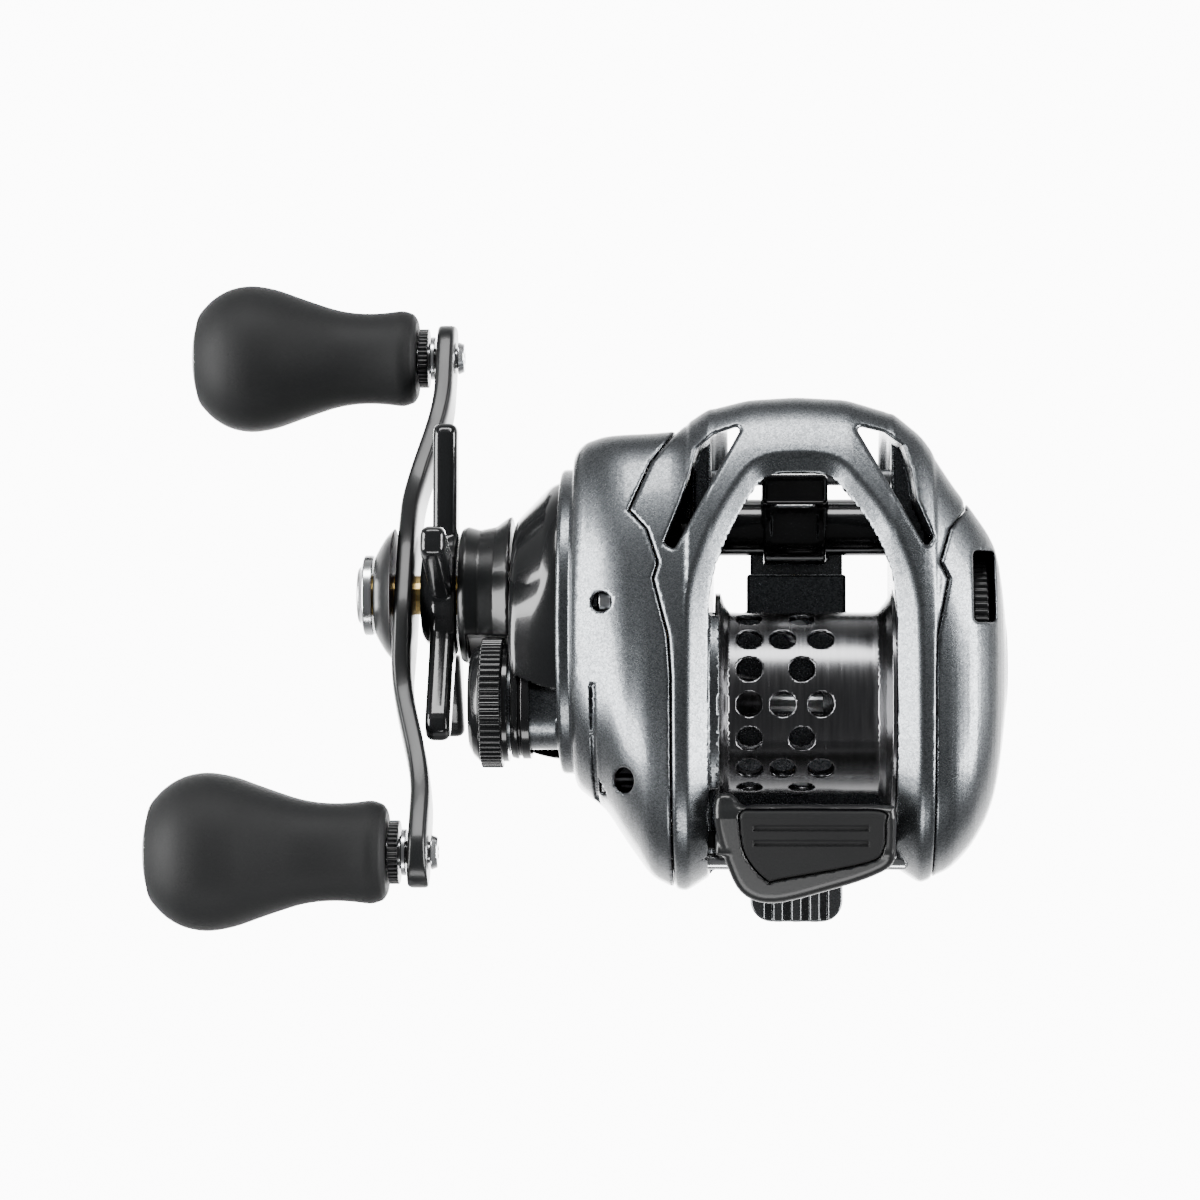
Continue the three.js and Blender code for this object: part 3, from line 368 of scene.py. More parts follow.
# The hood's arch: the opening's inner rim, and the two windows in front of its legs.
ARCH_RIM = rounded_outline([(-13.6, -60), (-13.6, -20), (-13.6, 8), (-13.0, 17), (-10.2, 25.0),
                            (-6.6, 31.2), (-4.4, 33.0), (-0.6, 33.4), (3.2, 33.0), (5.6, 31.0),
                            (10.1, 24.8), (13.0, 17), (13.7, 8), (13.7, -20), (13.7, -60)])
LEFT_WINDOW = [(-9.7, 40.0), (-12.6, 39.0), (-15.0, 37.0), (-15.9, 33.5), (-17.4, 29.0),
               (-19.5, 23.6), (-18.8, 23.2)]
RIGHT_WINDOW = [(8.6, 40.0), (11.6, 39.3), (14.2, 37.4), (15.3, 34.0), (16.0, 29.5), (18.3, 24.2),
                (17.9, 23.6)]


def frame_field(x, y, z):
    """The body's skin between the seams, with the wall, ring, floor and rear beam joined on, less
    the arch's opening, whose rim slopes outward, the windows, the mouth and the round bores."""
    depth = body_depth(x, y, z)
    left = np.interp(y, SEAM_Y, LEFT_SEAM)
    right = np.interp(y, SEAM_Y, RIGHT_SEAM)
    span = both(left - x, x - right, 0.3)
    shell = both(both(depth, -depth - SKIN_DEPTH, 0.2), span, 0.7)
    wall = both(both(depth, -16.5 - x, 0.3), x - WALL_FACE, 0.6)
    ring = both(both(depth, RING_FACE - x, 0.6), x - 19.0, 0.3)
    solid = either(either(shell, wall, 0.8), ring, 0.8)
    rim = outline_field(x, y, ARCH_RIM)
    opening = np.minimum(rim, rim - depth * 1.35 - BEVEL_WIDTH)
    inner = np.maximum(WALL_FACE - x, x - RING_FACE)
    solid = without(solid, np.maximum(opening, 7.0 - z), 0.55)
    window = np.minimum(outline_field(x, y, LEFT_WINDOW), outline_field(x, y, RIGHT_WINDOW)) - 0.5
    solid = without(solid, np.maximum(window, 20.0 - z), 0.7)
    mouth = box_field(x, y, z, (-11.2, 20, 1), (11.6, 70, 26.5), 2.5)
    solid = without(solid, mouth, 0.8)
    room = np.maximum(inner, np.maximum(y + 16, 4.9 - z))
    solid = without(solid, room, 0.6)
    below = np.maximum(inner, z - 2.6)
    solid = without(solid, below, 0.4)
    floor = box_field(x, y, z, (-14, -24, 2.6), (13.8, 13.6, 4.9), 0.4)
    floor = np.minimum(floor, box_field(x, y, z, (-8.4, 12, 2.6), (6.8, 19.5, 4.9), 0.4))
    beam = box_field(x, y, z, (-14, -25.6, 2.6), (13.8, -19.6, 9.6), 1.0)
    lip = rod_field(x, y, z, SPOOL_AXIS, -14.0, -12.1, 18.4)
    lip = both(lip, np.maximum(y - 13, -12.4 - y), 0.4)
    solid = either(either(either(solid, floor, 0.5), beam, 0.8), lip, 0.4)
    bores = np.minimum(rod_field(x, y, z, SPOOL_AXIS, WALL_FACE, 30, 16.9),
                       rod_field(x, y, z, SPOOL_AXIS, -30, 0, 4.1))
    bores = np.minimum(bores, rod_field(x, y, z, WORM_AXIS, -30, -12, 3.6))
    slot = box_field(x, y, z, (-40, -22.9, 19.8), (-12.6, -17.9, 30), 0.4)
    return without(solid, np.minimum(bores, slot), 0.4)


carved("reel_frame", frame_field, (-27, -30, -8), (26, 47, 46), FRAME_STEP, "frame_body",
       body_paint, ["frame"])


# ---- Gear side plate ----
# A painted cast shell over the gears, held by two long screws from outside. Its end carries the
# oval rim for the cover and the threaded neck for the cast control cap.

COVER_MIDDLE = (12.2, 15.0)
COVER_REACH = (21.1, 18.4)            # half the oval cover's length and height
DRIVE_AXIS = (16.2, 13.5)
SCREW_PLACES = [(15.0, 36.4), (-11.2, 27.0)]


def oval_field(y, z, reach_y, reach_z):
    """Distance to an upright oval about the cover's middle, from its gauge times its mean reach."""
    gauge = np.hypot((y - COVER_MIDDLE[0]) / reach_y, (z - COVER_MIDDLE[1]) / reach_z)
    return (gauge - 1) * (reach_y + reach_z) / 2


def plate_field(x, y, z):
    """The body's skin left of the seam, hollow inside, with the oval rim, the neck and two screw
    bosses joined on, less the bores, the screws' rooms and wells, and a shallow groove."""
    depth = body_depth(x, y, z)
    seam = np.interp(y, SEAM_Y, LEFT_SEAM) - 0.16
    shell = both(both(depth, x - seam, 0.6), -34.0 - x, 1.2)
    hollow = np.maximum(depth + 1.9, -32.2 - x)
    solid = without(shell, hollow, 0.3)
    rim = both(oval_field(y, z, 23.0, 20.3), -36.2 - x, 0.9)
    rim = both(rim, x + 33.0, 0.2)
    neck = rod_field(x, y, z, SPOOL_AXIS, -47, -31.6, 7.0)
    solid = either(solid, rim, 0.5)
    solid = without(solid, np.maximum(oval_field(y, z, 21.4, 18.7), x + 34.0), 0.3)
    solid = either(solid, neck, 0.4)
    bores = np.minimum(rod_field(x, y, z, SPOOL_AXIS, -50, -20, 4.9),
                       rod_field(x, y, z, DRIVE_AXIS, -40, -30, 5.5))
    bosses = np.minimum(*(rod_field(x, y, z, place, -32, -16.8, 2.7) for place in SCREW_PLACES))
    solid = either(solid, both(bosses, depth + 0.6, 0.3), 0.3)
    rooms = np.minimum(*(rod_field(x, y, z, place, -29.9, -27.6, 2.3) for place in SCREW_PLACES))
    wells = np.minimum(np.maximum(np.hypot(x + 29.2, y - 14.9) - 1.45, 36.2 - z),
                       np.maximum(np.hypot((x + 26.0) * 1.3, y + 11.1) - 1.9, 27.5 - z))
    groove = np.maximum(np.maximum(np.abs(x + 30.6) - 0.3, np.abs(y + 6.5) - 9.5),
                        np.maximum(-0.5 - depth, 20.0 - z))
    sinks = np.minimum(np.minimum(rooms, wells), groove)
    return without(without(solid, bores, 0.3), sinks, 0.4)


carved("gear_side_shell", plate_field, (-48, -30, -8), (-15, 43, 45), 0.46, "frame_body",
       body_paint, ["gear_side_plate"])


# ---- Palm side cover ----
# The painted cover the palm rests on. It pulls off to the side to free the spool, and has a
# window at its front for the brake dial's rim.

DIAL_AXIS = (9.0, 20.6)


def palm_field(x, y, z):
    """The body's skin right of the seam, hollow inside, with the dial's post and its window."""
    depth = body_depth(x, y, z)
    seam = np.interp(y, SEAM_Y, RIGHT_SEAM) + 0.16
    shell = both(both(both(depth, x - 30.4, 1.5), seam - x, 0.6), 19.2 - x, 0.3)
    hollow = np.maximum(depth + 1.8, x - 29.4)
    post = rod_field(x, y, z, DIAL_AXIS, 24.4, 29.6, 2.0)
    solid = either(without(shell, hollow, 0.3), both(post, depth + 0.5, 0.1), 0.3)
    room = np.maximum(rod_field(x, y, z, DIAL_AXIS, 24.6, 27.6, 13.7),
                      2.0 - radius_from(DIAL_AXIS, y, z))
    window = box_field(x, y, z, (24.8, 12.0, 22), (28.1, 22.4, 60), 0.7)
    return without(without(solid, room, 0.2), window, 0.5)


carved("palm_cover_shell", palm_field, (18, -27, -4), (31.5, 33, 43), 0.38, "palm_body", body_paint,
       ["palm_side_cover"])


# ---- Screws of the gear side plate ----
# Two long steel screws, sunk in round recesses of the gear side plate, that hold it to the frame.

def eased_profile(corners, ease, steps=5):
    """Points and directions along a profile whose corners are eased: at each corner a
    parabola runs from a short way before it to a short way after it."""
    p = np.array([c[:2] for c in corners], float)
    own = np.array([c[2] if len(c) > 2 else ease for c in corners], float)
    before, after = p[:-2] - p[1:-1], p[2:] - p[1:-1]
    reach_in, reach_out = np.linalg.norm(before, axis=1), np.linalg.norm(after, axis=1)
    size = np.minimum(own[1:-1], np.minimum(reach_in, reach_out) * 0.499)
    start = (p[1:-1] + before * (size / reach_in)[:, None])[:, None]
    end = (p[1:-1] + after * (size / reach_out)[:, None])[:, None]
    t = np.linspace(0, 1, steps)[None, :, None]
    middle = p[1:-1][:, None]
    curve = ((1 - t) ** 2 * start + 2 * t * (1 - t) * middle + t ** 2 * end).reshape(-1, 2)
    run = (2 * (1 - t) * (middle - start) + 2 * t * (end - middle)).reshape(-1, 2)
    points = np.vstack([p[:1], curve, p[-1:]])
    run = np.vstack([p[1:2] - p[:1], run, p[-1:] - p[-2:-1]])
    run /= np.maximum(np.linalg.norm(run, axis=1, keepdims=True), 1e-9)
    return points, run


def ring_faces(rows, around, loop):
    """Faces between rows of points that go round a piece: each point joins the next round and the
    two ahead. A loop's last row joins its first, and other ends close on a point at each pole."""
    number = np.arange(rows * around).reshape(rows, around)
    following = np.roll(number, -1, axis=1)
    if loop:
        number, following = np.vstack([number, number[:1]]), np.vstack([following, following[:1]])
    quads = np.stack([number[:-1], following[:-1], following[1:], number[1:]], 2).reshape(-1, 4)
    if loop:
        return [quads]
    at = rows * around
    ring, after = np.arange(around), np.roll(np.arange(around), -1)
    return [quads, np.stack([np.full(around, at), after, ring], 1),
            np.stack([np.full(around, at + 1), ring + at - around, after + at - around], 1)]


def turned(name, corners, axis, body, look, nodes=(), ease=0.25, around=72,
           waves=0, depth=0.0, over=None):
    """A piece turned on a lathe: each profile point (x, r) becomes the ring r (cos a, sin a) about
    the axis. A profile that starts and ends at r = 0 is closed by a point at each pole, and any
    other is a loop. Knurling takes depth off the rings within the stretch over, waves times."""
    loop = corners[0][1] > 0
    if loop:
        corners = [*corners, corners[0], corners[1]]
    points, run = eased_profile(corners, ease)
    first, last = points[0], points[-1]
    points, run = points[1:-1], run[1:-1]
    angle = np.linspace(0, 2 * np.pi, around, endpoint=False)[None]
    x = points[:, :1] + 0 * angle
    radius = points[:, 1:] + 0 * angle
    if waves:
        inside = (x > over[0]) & (x < over[1]) & (radius > over[2])
        radius = radius - inside * depth * (0.5 - 0.5 * np.cos(waves * angle)) ** 2
    rings = np.stack([x, axis[0] + radius * np.cos(angle), axis[1] + radius * np.sin(angle)], 2)
    vertices = rings.reshape(-1, 3)
    outward = np.stack([-run[:, 1:] + 0 * angle, run[:, :1] * np.cos(angle),
                        run[:, :1] * np.sin(angle)], 2)
    normals = outward.reshape(-1, 3)
    if not loop:
        vertices = np.vstack([vertices, [[first[0], *axis], [last[0], *axis]]])
        normals = np.vstack([normals, [[-1, 0, 0], [1, 0, 0]]])
    mesh_piece(name, vertices, ring_faces(len(points), around, loop), body, look, nodes,
               None if waves else normals)


def bare_metal(name, low, high, roughness, scale=900.0):
    """Turned or polished metal: fine uneven streaks run round the lathe's axis, X."""
    material, place, feed = coat_of(name, {"Metallic": 1.0})
    stretched = place.node("ShaderNodeMapping", {}, Vector=place, Scale=(scale, scale * 0.05,
                                                                         scale * 0.05))
    streak = stretched.node("ShaderNodeTexNoise", Vector=stretched, Scale=1.0, Detail=4.0)
    feed("Base Color", streak.mix(low, high))
    feed("Roughness", streak * 0.16 + (roughness - 0.08))
    feed("Normal", streak.node("ShaderNodeBump", Height=streak, Strength=0.1, Distance=0.00003))
    return name, material


steel = bare_metal("steel", (0.42, 0.43, 0.44, 1), (0.62, 0.63, 0.64, 1), 0.3)

for i, place in enumerate(SCREW_PLACES):
    turned(f"plate_screw_{i + 1}", [(-29.6, 0), (-29.6, 1.0), (-28.6, 1.1), (-28.6, 1.3),
                                    (-29.6, 1.4), (-29.6, 1.9), (-27.9, 1.9), (-27.9, 1.0),
                                    (-14.3, 1.0), (-14.3, 0)], place, "frame_body", steel,
           [f"side_plate_screw_{i + 1}"], ease=0.15, around=32)


# ---- Gearbox cover ----
# A black gloss oval cover, moulded with a broad rounded edge, set in the side plate's oval rim.

def black_coat(name, tone, roughness, coat, sheen, grain=2200.0, depth=0.00003):
    """Black paint or anodising with a fine grain and faint handling marks."""
    material, place, feed = coat_of(name, {"Coat Roughness": 0.04, "Coat IOR": 1.5,
                                           "Specular IOR Level": sheen})
    fine = place.node("ShaderNodeTexNoise", Vector=place, Scale=grain, Detail=2.0)
    marks = place.node("ShaderNodeTexNoise", Vector=place, Scale=120.0, Detail=5.0)
    dark = tuple(0.7 * c for c in tone) + (1,)
    light = tuple(1.4 * c for c in tone) + (1,)
    feed("Base Color", (fine * 0.6 + marks * 0.4).mix(dark, light))
    feed("Roughness", marks * 0.14 + (roughness - 0.07))
    feed("Coat Weight", marks * 0.1 + coat)
    feed("Normal", fine.node("ShaderNodeBump", Height=fine, Strength=0.15, Distance=depth))
    return name, material


black_gloss = black_coat("black_gloss", (0.005, 0.0053, 0.0056), 0.16, 0.25, 0.35)
black_satin = black_coat("black_satin", (0.007, 0.0073, 0.0076), 0.3, 0.05, 0.28)


def smooth_step(value, low, high):
    """0 below low, 1 above high, and a cubic ease between."""
    t = np.clip((value - low) / (high - low), 0, 1)
    return t * t * (3 - 2 * t)


def cover_field(x, y, z):
    """An oval block with a sloped outer edge that broadens forward, hollow behind, with bores for
    the drive's sleeve and for the cast control neck."""
    oval = oval_field(y, z, *COVER_REACH)
    block = both(oval, np.maximum(-43.4 - x, x + 34.3), 0.4)
    lean = 0.35 + 0.6 * smooth_step(y, 8, 26)
    chamfer = (oval - (x + 43.4) * lean + 6.2 * lean) / np.hypot(1, lean)
    block = both(block, chamfer, 1.2)
    hollow = np.maximum(oval_field(y, z, 19.1, 16.4), np.maximum(-38.4 - x, x + 30))
    bores = np.minimum(rod_field(x, y, z, DRIVE_AXIS, -41.6, -30, 9.0),
                       rod_field(x, y, z, DRIVE_AXIS, -50, -30, 5.5))
    bores = np.minimum(bores, rod_field(x, y, z, SPOOL_AXIS, -50, -30, 8.9))
    return without(without(block, hollow, 0.2), bores, 0.4)


carved("gearbox_cover", cover_field, (-44.5, -10, -5), (-33.3, 34.5, 35), 0.4, "frame_body",
       black_gloss, ["gear_cover"])

turned("cast_neck_collar", [(-43.2, 7.3), (-43.2, 8.2), (-42.5, 8.4), (-42.1, 8.4), (-42.0, 8.0),
                            (-41.7, 8.0), (-41.6, 8.4), (-40.3, 8.4), (-40.3, 7.3)], SPOOL_AXIS,
       "frame_body", black_gloss, ["cast_collar"], ease=0.2)


# ---- Boss round the crank shaft ----
# A black anodised flared ring that closes the cover round the shaft, scalloped to clear the cap.

def boss_field(x, y, z):
    """A flared ring: radius eased between the waist and both ends, less the scallop and bore."""
    radius = np.interp(x, [-51.5, -50.4, -48.6, -46.2, -43.7], [10.0, 10.4, 9.9, 10.4, 12.2])
    radial = radius_from(DRIVE_AXIS, y, z)
    ring = both(radial - radius, np.maximum(-51.5 - x, x + 43.7), 0.7)
    ring = both(ring, 5.5 - radial, 0.3)
    return without(ring, rod_field(x, y, z, SPOOL_AXIS, -50.2, -30, 10.1), 0.3)


carved("shaft_boss_ring", boss_field, (-52.5, 3, 0), (-42.7, 30, 27), 0.4, "frame_body",
       black_satin, ["shaft_boss"])


# ---- Cast control cap ----
# A black knurled cap, screwed on the side plate's neck, that presses on the spool shaft's end.

turned("cast_cap", [(-49.6, 0), (-49.6, 5.2), (-49.3, 5.6), (-49.3, 6.4), (-49.6, 6.8),
                    (-48.9, 8.0), (-48.0, 8.8), (-47.8, 8.8), (-47.7, 9.7), (-44.6, 9.7),
                    (-44.5, 8.8), (-43.6, 8.8), (-43.6, 7.3), (-48.2, 7.3), (-48.2, 0)], SPOOL_AXIS,
       "cast_body", black_gloss, ["cast_control_cap"], ease=0.18, around=360, waves=60, depth=0.45,
       over=(-47.72, -44.58, 9.0))


# ---- Crank: shaft and gears ----
# Brass shaft and gears with carbon and steel drag washers: turned and hobbed pieces that stay as
# modelled, with their metals.

brass = bare_metal("brass", (0.52, 0.36, 0.13, 1), (0.72, 0.53, 0.22, 1), 0.3)
silver = bare_metal("silver", (0.62, 0.63, 0.64, 1), (0.8, 0.81, 0.82, 1), 0.22)
dark_aluminium = bare_metal("dark_aluminium", (0.1, 0.1, 0.105, 1), (0.2, 0.2, 0.205, 1), 0.24,
                            2600.0)
carbon = black_coat("carbon", (0.02, 0.02, 0.021), 0.5, 0.05, 0.4, 1500.0, 0.0001)
nylon = black_coat("nylon", (0.03, 0.03, 0.031), 0.5, 0.0, 0.4, 900.0, 0.00005)


def finish(look, *names):
    """Gives CAD nodes their material."""
    for name in names:
        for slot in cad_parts[name].material_slots:
            slot.material = look[1]


finish(brass, "drive_shaft", "drive_gear", "level_wind_gear", "pinion_gear", "worm_bushing", "pawl")
finish(steel, "roller_clutch", "drive_shaft_bearing", "pinion_bearing", "spool_bearing_gear",
       "clutch_sleeve", "key_washer", "yoke_post_1", "yoke_post_2", "yoke_spring_1",
       "yoke_spring_2", "spool_shaft", "spool_pin", "worm_shaft", "magnet_ring",
       "spool_bearing_palm", "clutch_cam", "foot_screw_1", "foot_screw_2")
finish(carbon, "drag_washer")
finish(nylon, "worm_gear", "clutch_yoke")
finish(silver, "brake_inductor")
finish(black_satin, "brake_case")


# ---- Star drag ----
# A black anodised aluminium star with five arms on a domed hub, screwed on the clutch sleeve.

STAR_ARMS = 5
STAR_R = 26.0


def star_outline():
    """The star's edge: the same few points of one arm, turned about the hub once for each arm."""
    arm = np.array([(9.5, -0.36), (17, -0.16), (STAR_R - 2.2, -0.105), (STAR_R - 0.2, -0.06),
                    (STAR_R, 0.0), (STAR_R - 0.2, 0.06), (STAR_R - 2.2, 0.105), (17, 0.16),
                    (9.5, 0.36), (8.7, math.pi / STAR_ARMS)])
    turn = 2 * np.pi * np.arange(STAR_ARMS)[:, None] / STAR_ARMS + arm[:, 1]
    return np.stack([arm[:, 0] * np.cos(turn), arm[:, 0] * np.sin(turn)], 2).reshape(-1, 2)


STAR_EDGE = rounded_outline(star_outline(), 4)


def star_field(x, y, z):
    """The star's outline thinned towards the tips, its edges rounded, joined to a domed hub."""
    radial = radius_from(DRIVE_AXIS, y, z)
    edge = outline_field(y - DRIVE_AXIS[0], z - DRIVE_AXIS[1], STAR_EDGE)
    slab = both(edge, np.maximum(-55.8 - x, x + 52.1), 1.4)
    dome = np.interp(x, [-57.4, -56.6, -53.4, -52.0], [6.4, 7.4, 8.9, 9.2])
    hub = both(radial - dome, np.maximum(-57.4 - x, x + 52.0), 0.7)
    return both(either(slab, hub, 1.0), 3.3 - radial, 0.3)


carved("star_wheel", star_field, (-58.5, -11, -14), (-51, 43.5, 41), 0.42, "star_body", black_gloss,
       ["star_drag"])


# ---- Handle ----
# A swept arm milled from aluminium plate, black anodised, held on the shaft by a domed nut and a
# bright retainer. Each end carries a riveted steel post.

CRANK_R = 45.0
CRANK_TILT = math.radians(33)
ARM_MIDDLE_X = -59.8
ARM_END_X = -55.8
ARM_THICK = 3.0
ARM_TIP = 5.2                         # radius of the arm's round ends
ARM_POWER = 5                         # squareness of its section


def crank_turned(points):
    """Points about the drive axis, turned back by the crank's tilt."""
    y = points[..., 1] * math.cos(CRANK_TILT) + points[..., 2] * math.sin(CRANK_TILT)
    z = -points[..., 1] * math.sin(CRANK_TILT) + points[..., 2] * math.cos(CRANK_TILT)
    return np.stack([points[..., 0], y + DRIVE_AXIS[0], z + DRIVE_AXIS[1]], -1)


def handle_surface(along=180, round_count=40):
    """The arm: at distance s along it, a rounded rectangle (a superellipse) as wide as the
    arm there and of one thickness, on a middle line that eases inward towards the ends."""
    length = CRANK_R + ARM_TIP
    s = length * np.sin(np.linspace(-np.pi / 2, np.pi / 2, along + 2)[1:-1])[:, None]
    reach = np.abs(s)
    width = 7.2 - smooth_step(reach, 4, 20) * 3.1 + smooth_step(reach, 30, CRANK_R) * 1.1
    tip = np.sqrt(np.clip(ARM_TIP ** 2 - np.clip(reach - CRANK_R, 0, None) ** 2, 0.01, None))
    width = np.where(reach > CRANK_R, tip, width)
    middle = ARM_MIDDLE_X + smooth_step(reach, 13, 38) * (ARM_END_X - ARM_MIDDLE_X)
    a = np.linspace(0, 2 * np.pi, round_count, endpoint=False)[None]
    across = np.sign(np.cos(a)) * np.abs(np.cos(a)) ** (2 / ARM_POWER)
    thick = np.sign(np.sin(a)) * np.abs(np.sin(a)) ** (2 / ARM_POWER)
    thin = np.where(width < 1.2, width / 1.2, 1.0)
    points = np.stack([middle + thick * ARM_THICK / 2 * thin, s + 0 * a, width * across], 2)
    ends = np.array([[middle[0, 0], -length, 0], [middle[-1, 0], length, 0]])
    faces = ring_faces(len(s), round_count, False)
    return crank_turned(np.vstack([points.reshape(-1, 3), ends])), faces


arm_points, arm_faces = handle_surface()
mesh_piece("handle_blade", arm_points, arm_faces, "crank_body", black_satin, ["handle_arm"])
turned("handle_dome_nut", [(-64.5, 3.3), (-64.5, 6.1), (-63.8, 7.4, 1), (-62.8, 9.0, 1),
                           (-61.6, 10.2), (-61.6, 3.3)], DRIVE_AXIS, "crank_body", black_satin,
       ["handle_nut"])
turned("handle_retainer", [(-67.2, 0), (-67.2, 4.1), (-66.6, 4.6, 0.6), (-66.2, 6.1), (-64.8, 6.1),
                           (-64.8, 3.3), (-66.2, 3.3), (-66.2, 0)], DRIVE_AXIS, "crank_body",
       silver, ["nut_retainer"])


# ---- Knobs ----
# Black rubber grips that turn on the posts, each with a ribbed collar and a bright end cap.

def rubber_skin(name):
    """Moulded soft rubber: dull, with a fine pebbled skin and slightly shiny worn patches."""
    material, place, feed = coat_of(name, {"Specular IOR Level": 0.16})
    pebble = place.node("ShaderNodeTexVoronoi", {"feature": "SMOOTH_F1"}, Vector=place,
                        Scale=2600.0)
    wear = place.node("ShaderNodeTexNoise", Vector=place, Scale=60.0, Detail=4.0)
    feed("Base Color", wear.mix((0.004, 0.0042, 0.0044, 1), (0.008, 0.0083, 0.0086, 1)))
    feed("Roughness", 0.72 - wear * 0.22)
    feed("Normal", pebble.node("ShaderNodeBump", Height=pebble, Strength=0.25, Distance=0.00005))
    return name, material


grip_rubber = rubber_skin("grip_rubber")
OUTER_X = ARM_END_X - ARM_THICK / 2
BODY_X_SIDE = ARM_END_X + ARM_THICK / 2

for i, side in enumerate((-1, 1)):
    y, z = crank_turned(np.array([0, side * CRANK_R, 0]))[1:]
    turned(f"grip_{i + 1}", [(-60.4, 2.5), (-60.4, 6.1), (-61.0, 7.0), (-62.6, 7.6, 2),
                             (-66.0, 7.15, 3), (-69.5, 7.1, 3), (-73.0, 7.6, 3), (-78.0, 9.25, 3),
                             (-83.0, 11.1, 3), (-87.0, 11.7, 3), (-90.4, 11.0, 3), (-93.0, 9.4, 2),
                             (-94.8, 7.4, 0.6), (-95.2, 6.6), (-93.6, 6.5), (-93.6, 2.5)][::-1],
           (y, z), f"knob_body_{i + 1}", grip_rubber, [f"knob_grip_{i + 1}"], ease=0.3, around=96)
    turned(f"grip_cap_{i + 1}", [(-96.2, 0), (-96.1, 2.0, 1.0), (-95.9, 3.6, 1.0),
                                 (-95.4, 5.8, 0.5), (-94.0, 6.1), (-94.0, 0)], (y, z),
           f"knob_body_{i + 1}", silver, [f"knob_cap_{i + 1}"])
    turned(f"grip_collar_{i + 1}", [(-60.1, 2.4), (-60.1, 4.65), (-58.6, 4.65), (-58.6, 2.4)],
           (y, z), f"knob_body_{i + 1}", black_satin, [f"knob_collar_{i + 1}"], ease=0.2,
           around=240, waves=40, depth=0.3, over=(-60.05, -58.65, 4.4))
    turned(f"grip_post_{i + 1}", [(-93.2, 0), (-93.2, 2.0), (OUTER_X - 1, 2.0), (OUTER_X - 1, 3.4),
                                  (OUTER_X - 0.3, 3.4), (OUTER_X - 0.3, 1.6), (BODY_X_SIDE + 0.3,
                                                                               1.6),
                                  (BODY_X_SIDE + 0.3, 2.6), (BODY_X_SIDE + 1.3, 2.2),
                                  (BODY_X_SIDE + 1.3, 0.9), (BODY_X_SIDE + 0.8, 0.8),
                                  (BODY_X_SIDE + 0.8, 0)], (y, z), "crank_body", silver,
           [f"knob_post_{i + 1}"], ease=0.2, around=48)


# ---- Spool ----
# A forged aluminium spool, dark titanium anodised, its thin arbor drilled through with ports to
# save weight. It turns on a steel shaft, and its inductor cup reaches into the brake magnets.

PORT_R = 1.85
PORT_RINGS = [(-7.8, 16, 0.0), (-2.9, 8, 0.0), (-0.1, 8, 0.5), (2.7, 8, 0.0)]


def port_field(x, y, z):
    """Distance to the nearest port: a ring's holes are one hole repeated by wrapping the angle."""
    radial = radius_from(SPOOL_AXIS, y, z)
    angle = np.arctan2(z - SPOOL_AXIS[1], y)
    nearest = np.full(np.shape(x), 1e9)
    for at, count, turn in PORT_RINGS:
        step = 2 * np.pi / count
        off = (angle - turn * step + step / 2) % step - step / 2
        nearest = np.minimum(nearest, np.hypot(x - at, radial * np.sin(off)) - PORT_R)
    return np.maximum(nearest, 9.0 - radial)


SPOOL_PROFILE = np.array([(-13.3, 1.6), (-13.3, 4.0), (-12.0, 5.0), (-12.0, 12.2), (-12.9, 15.4),
                          (-12.9, 16.4), (-12.2, 16.4), (-11.6, 14.6), (-10.9, 13.6), (-10.2, 13.5),
                          (10.4, 13.5), (11.2, 13.7), (12.2, 14.9), (13.1, 16.4), (13.8, 16.4),
                          (13.8, 15.4), (11.6, 12.7), (-10.6, 12.7), (-10.6, 4.6), (-5.0, 3.4),
                          (-5.0, 1.6)])


def spool_field(x, y, z):
    """The spool's profile turned about its axis, less the ports."""
    radial = radius_from(SPOOL_AXIS, y, z)
    return both(outline_field(x, radial, SPOOL_PROFILE), -port_field(x, y, z), 0.25)


carved("spool_ported", spool_field, (-14, -17.2, 4.8), (14.6, 17.2, 39.2), 0.33, "spool_body",
       dark_aluminium, ["spool"])


# ---- Thumb bar ----
# The moulded bar the thumb presses to free the spool, with a grooved rubber pad let into its top,
# two legs, and a tongue through the slot in the gear-side wall.

BAR_EDGE = rounded_outline([(-10.4, -13.0), (-12.6, -13.4), (-12.8, -17.0), (-11.6, -22.0),
                            (-9.0, -27.6), (-4.2, -29.2), (4.0, -27.2), (10.0, -25.2),
                            (13.1, -23.2), (13.5, -20.0), (13.4, -15.6), (12.4, -14.6),
                            (4.0, -14.5), (-6.0, -14.5), (-8.6, -14.6)], 5)
BAR_TOP = 39.9                        # height of the level part, and where it starts to fall
BAR_BREAK = -16.4
BAR_SLOPE = (39.9 - 34.2) / (27.2 - 16.4)


def bar_top(y):
    """Height of the bar's top: level near the spool, then falling rearward."""
    return np.where(y > BAR_BREAK, BAR_TOP, BAR_TOP + (y - BAR_BREAK) * BAR_SLOPE)


def bar_field(x, y, z):
    """The bar's outline from above, a few millimetres thick on its slope, with its two legs and the
    tongue through the wall, less the pad's seat."""
    top = z - bar_top(y) + 0.35 * smooth_step(y, -15.6, -14.0)
    slab = both(outline_field(x, y, BAR_EDGE), np.maximum(top, -top - 3.6), 1.3)
    legs = np.minimum(box_field(x, y, z, (-12.7, -22, 24), (-10.5, -18.8, 37), 0.5),
                      box_field(x, y, z, (10.9, -22, 24), (12.9, -18.8, 37), 0.5))
    tongue = box_field(x, y, z, (-18.3, -21.6, 24.2), (-12.6, -18.9, 27), 0.3)
    seat = both(outline_field(x, y, PAD_EDGE) - 0.25, -top - 0.8, 0.2)
    return without(either(np.minimum(slab, tongue), legs, 0.6), seat, 0.15)


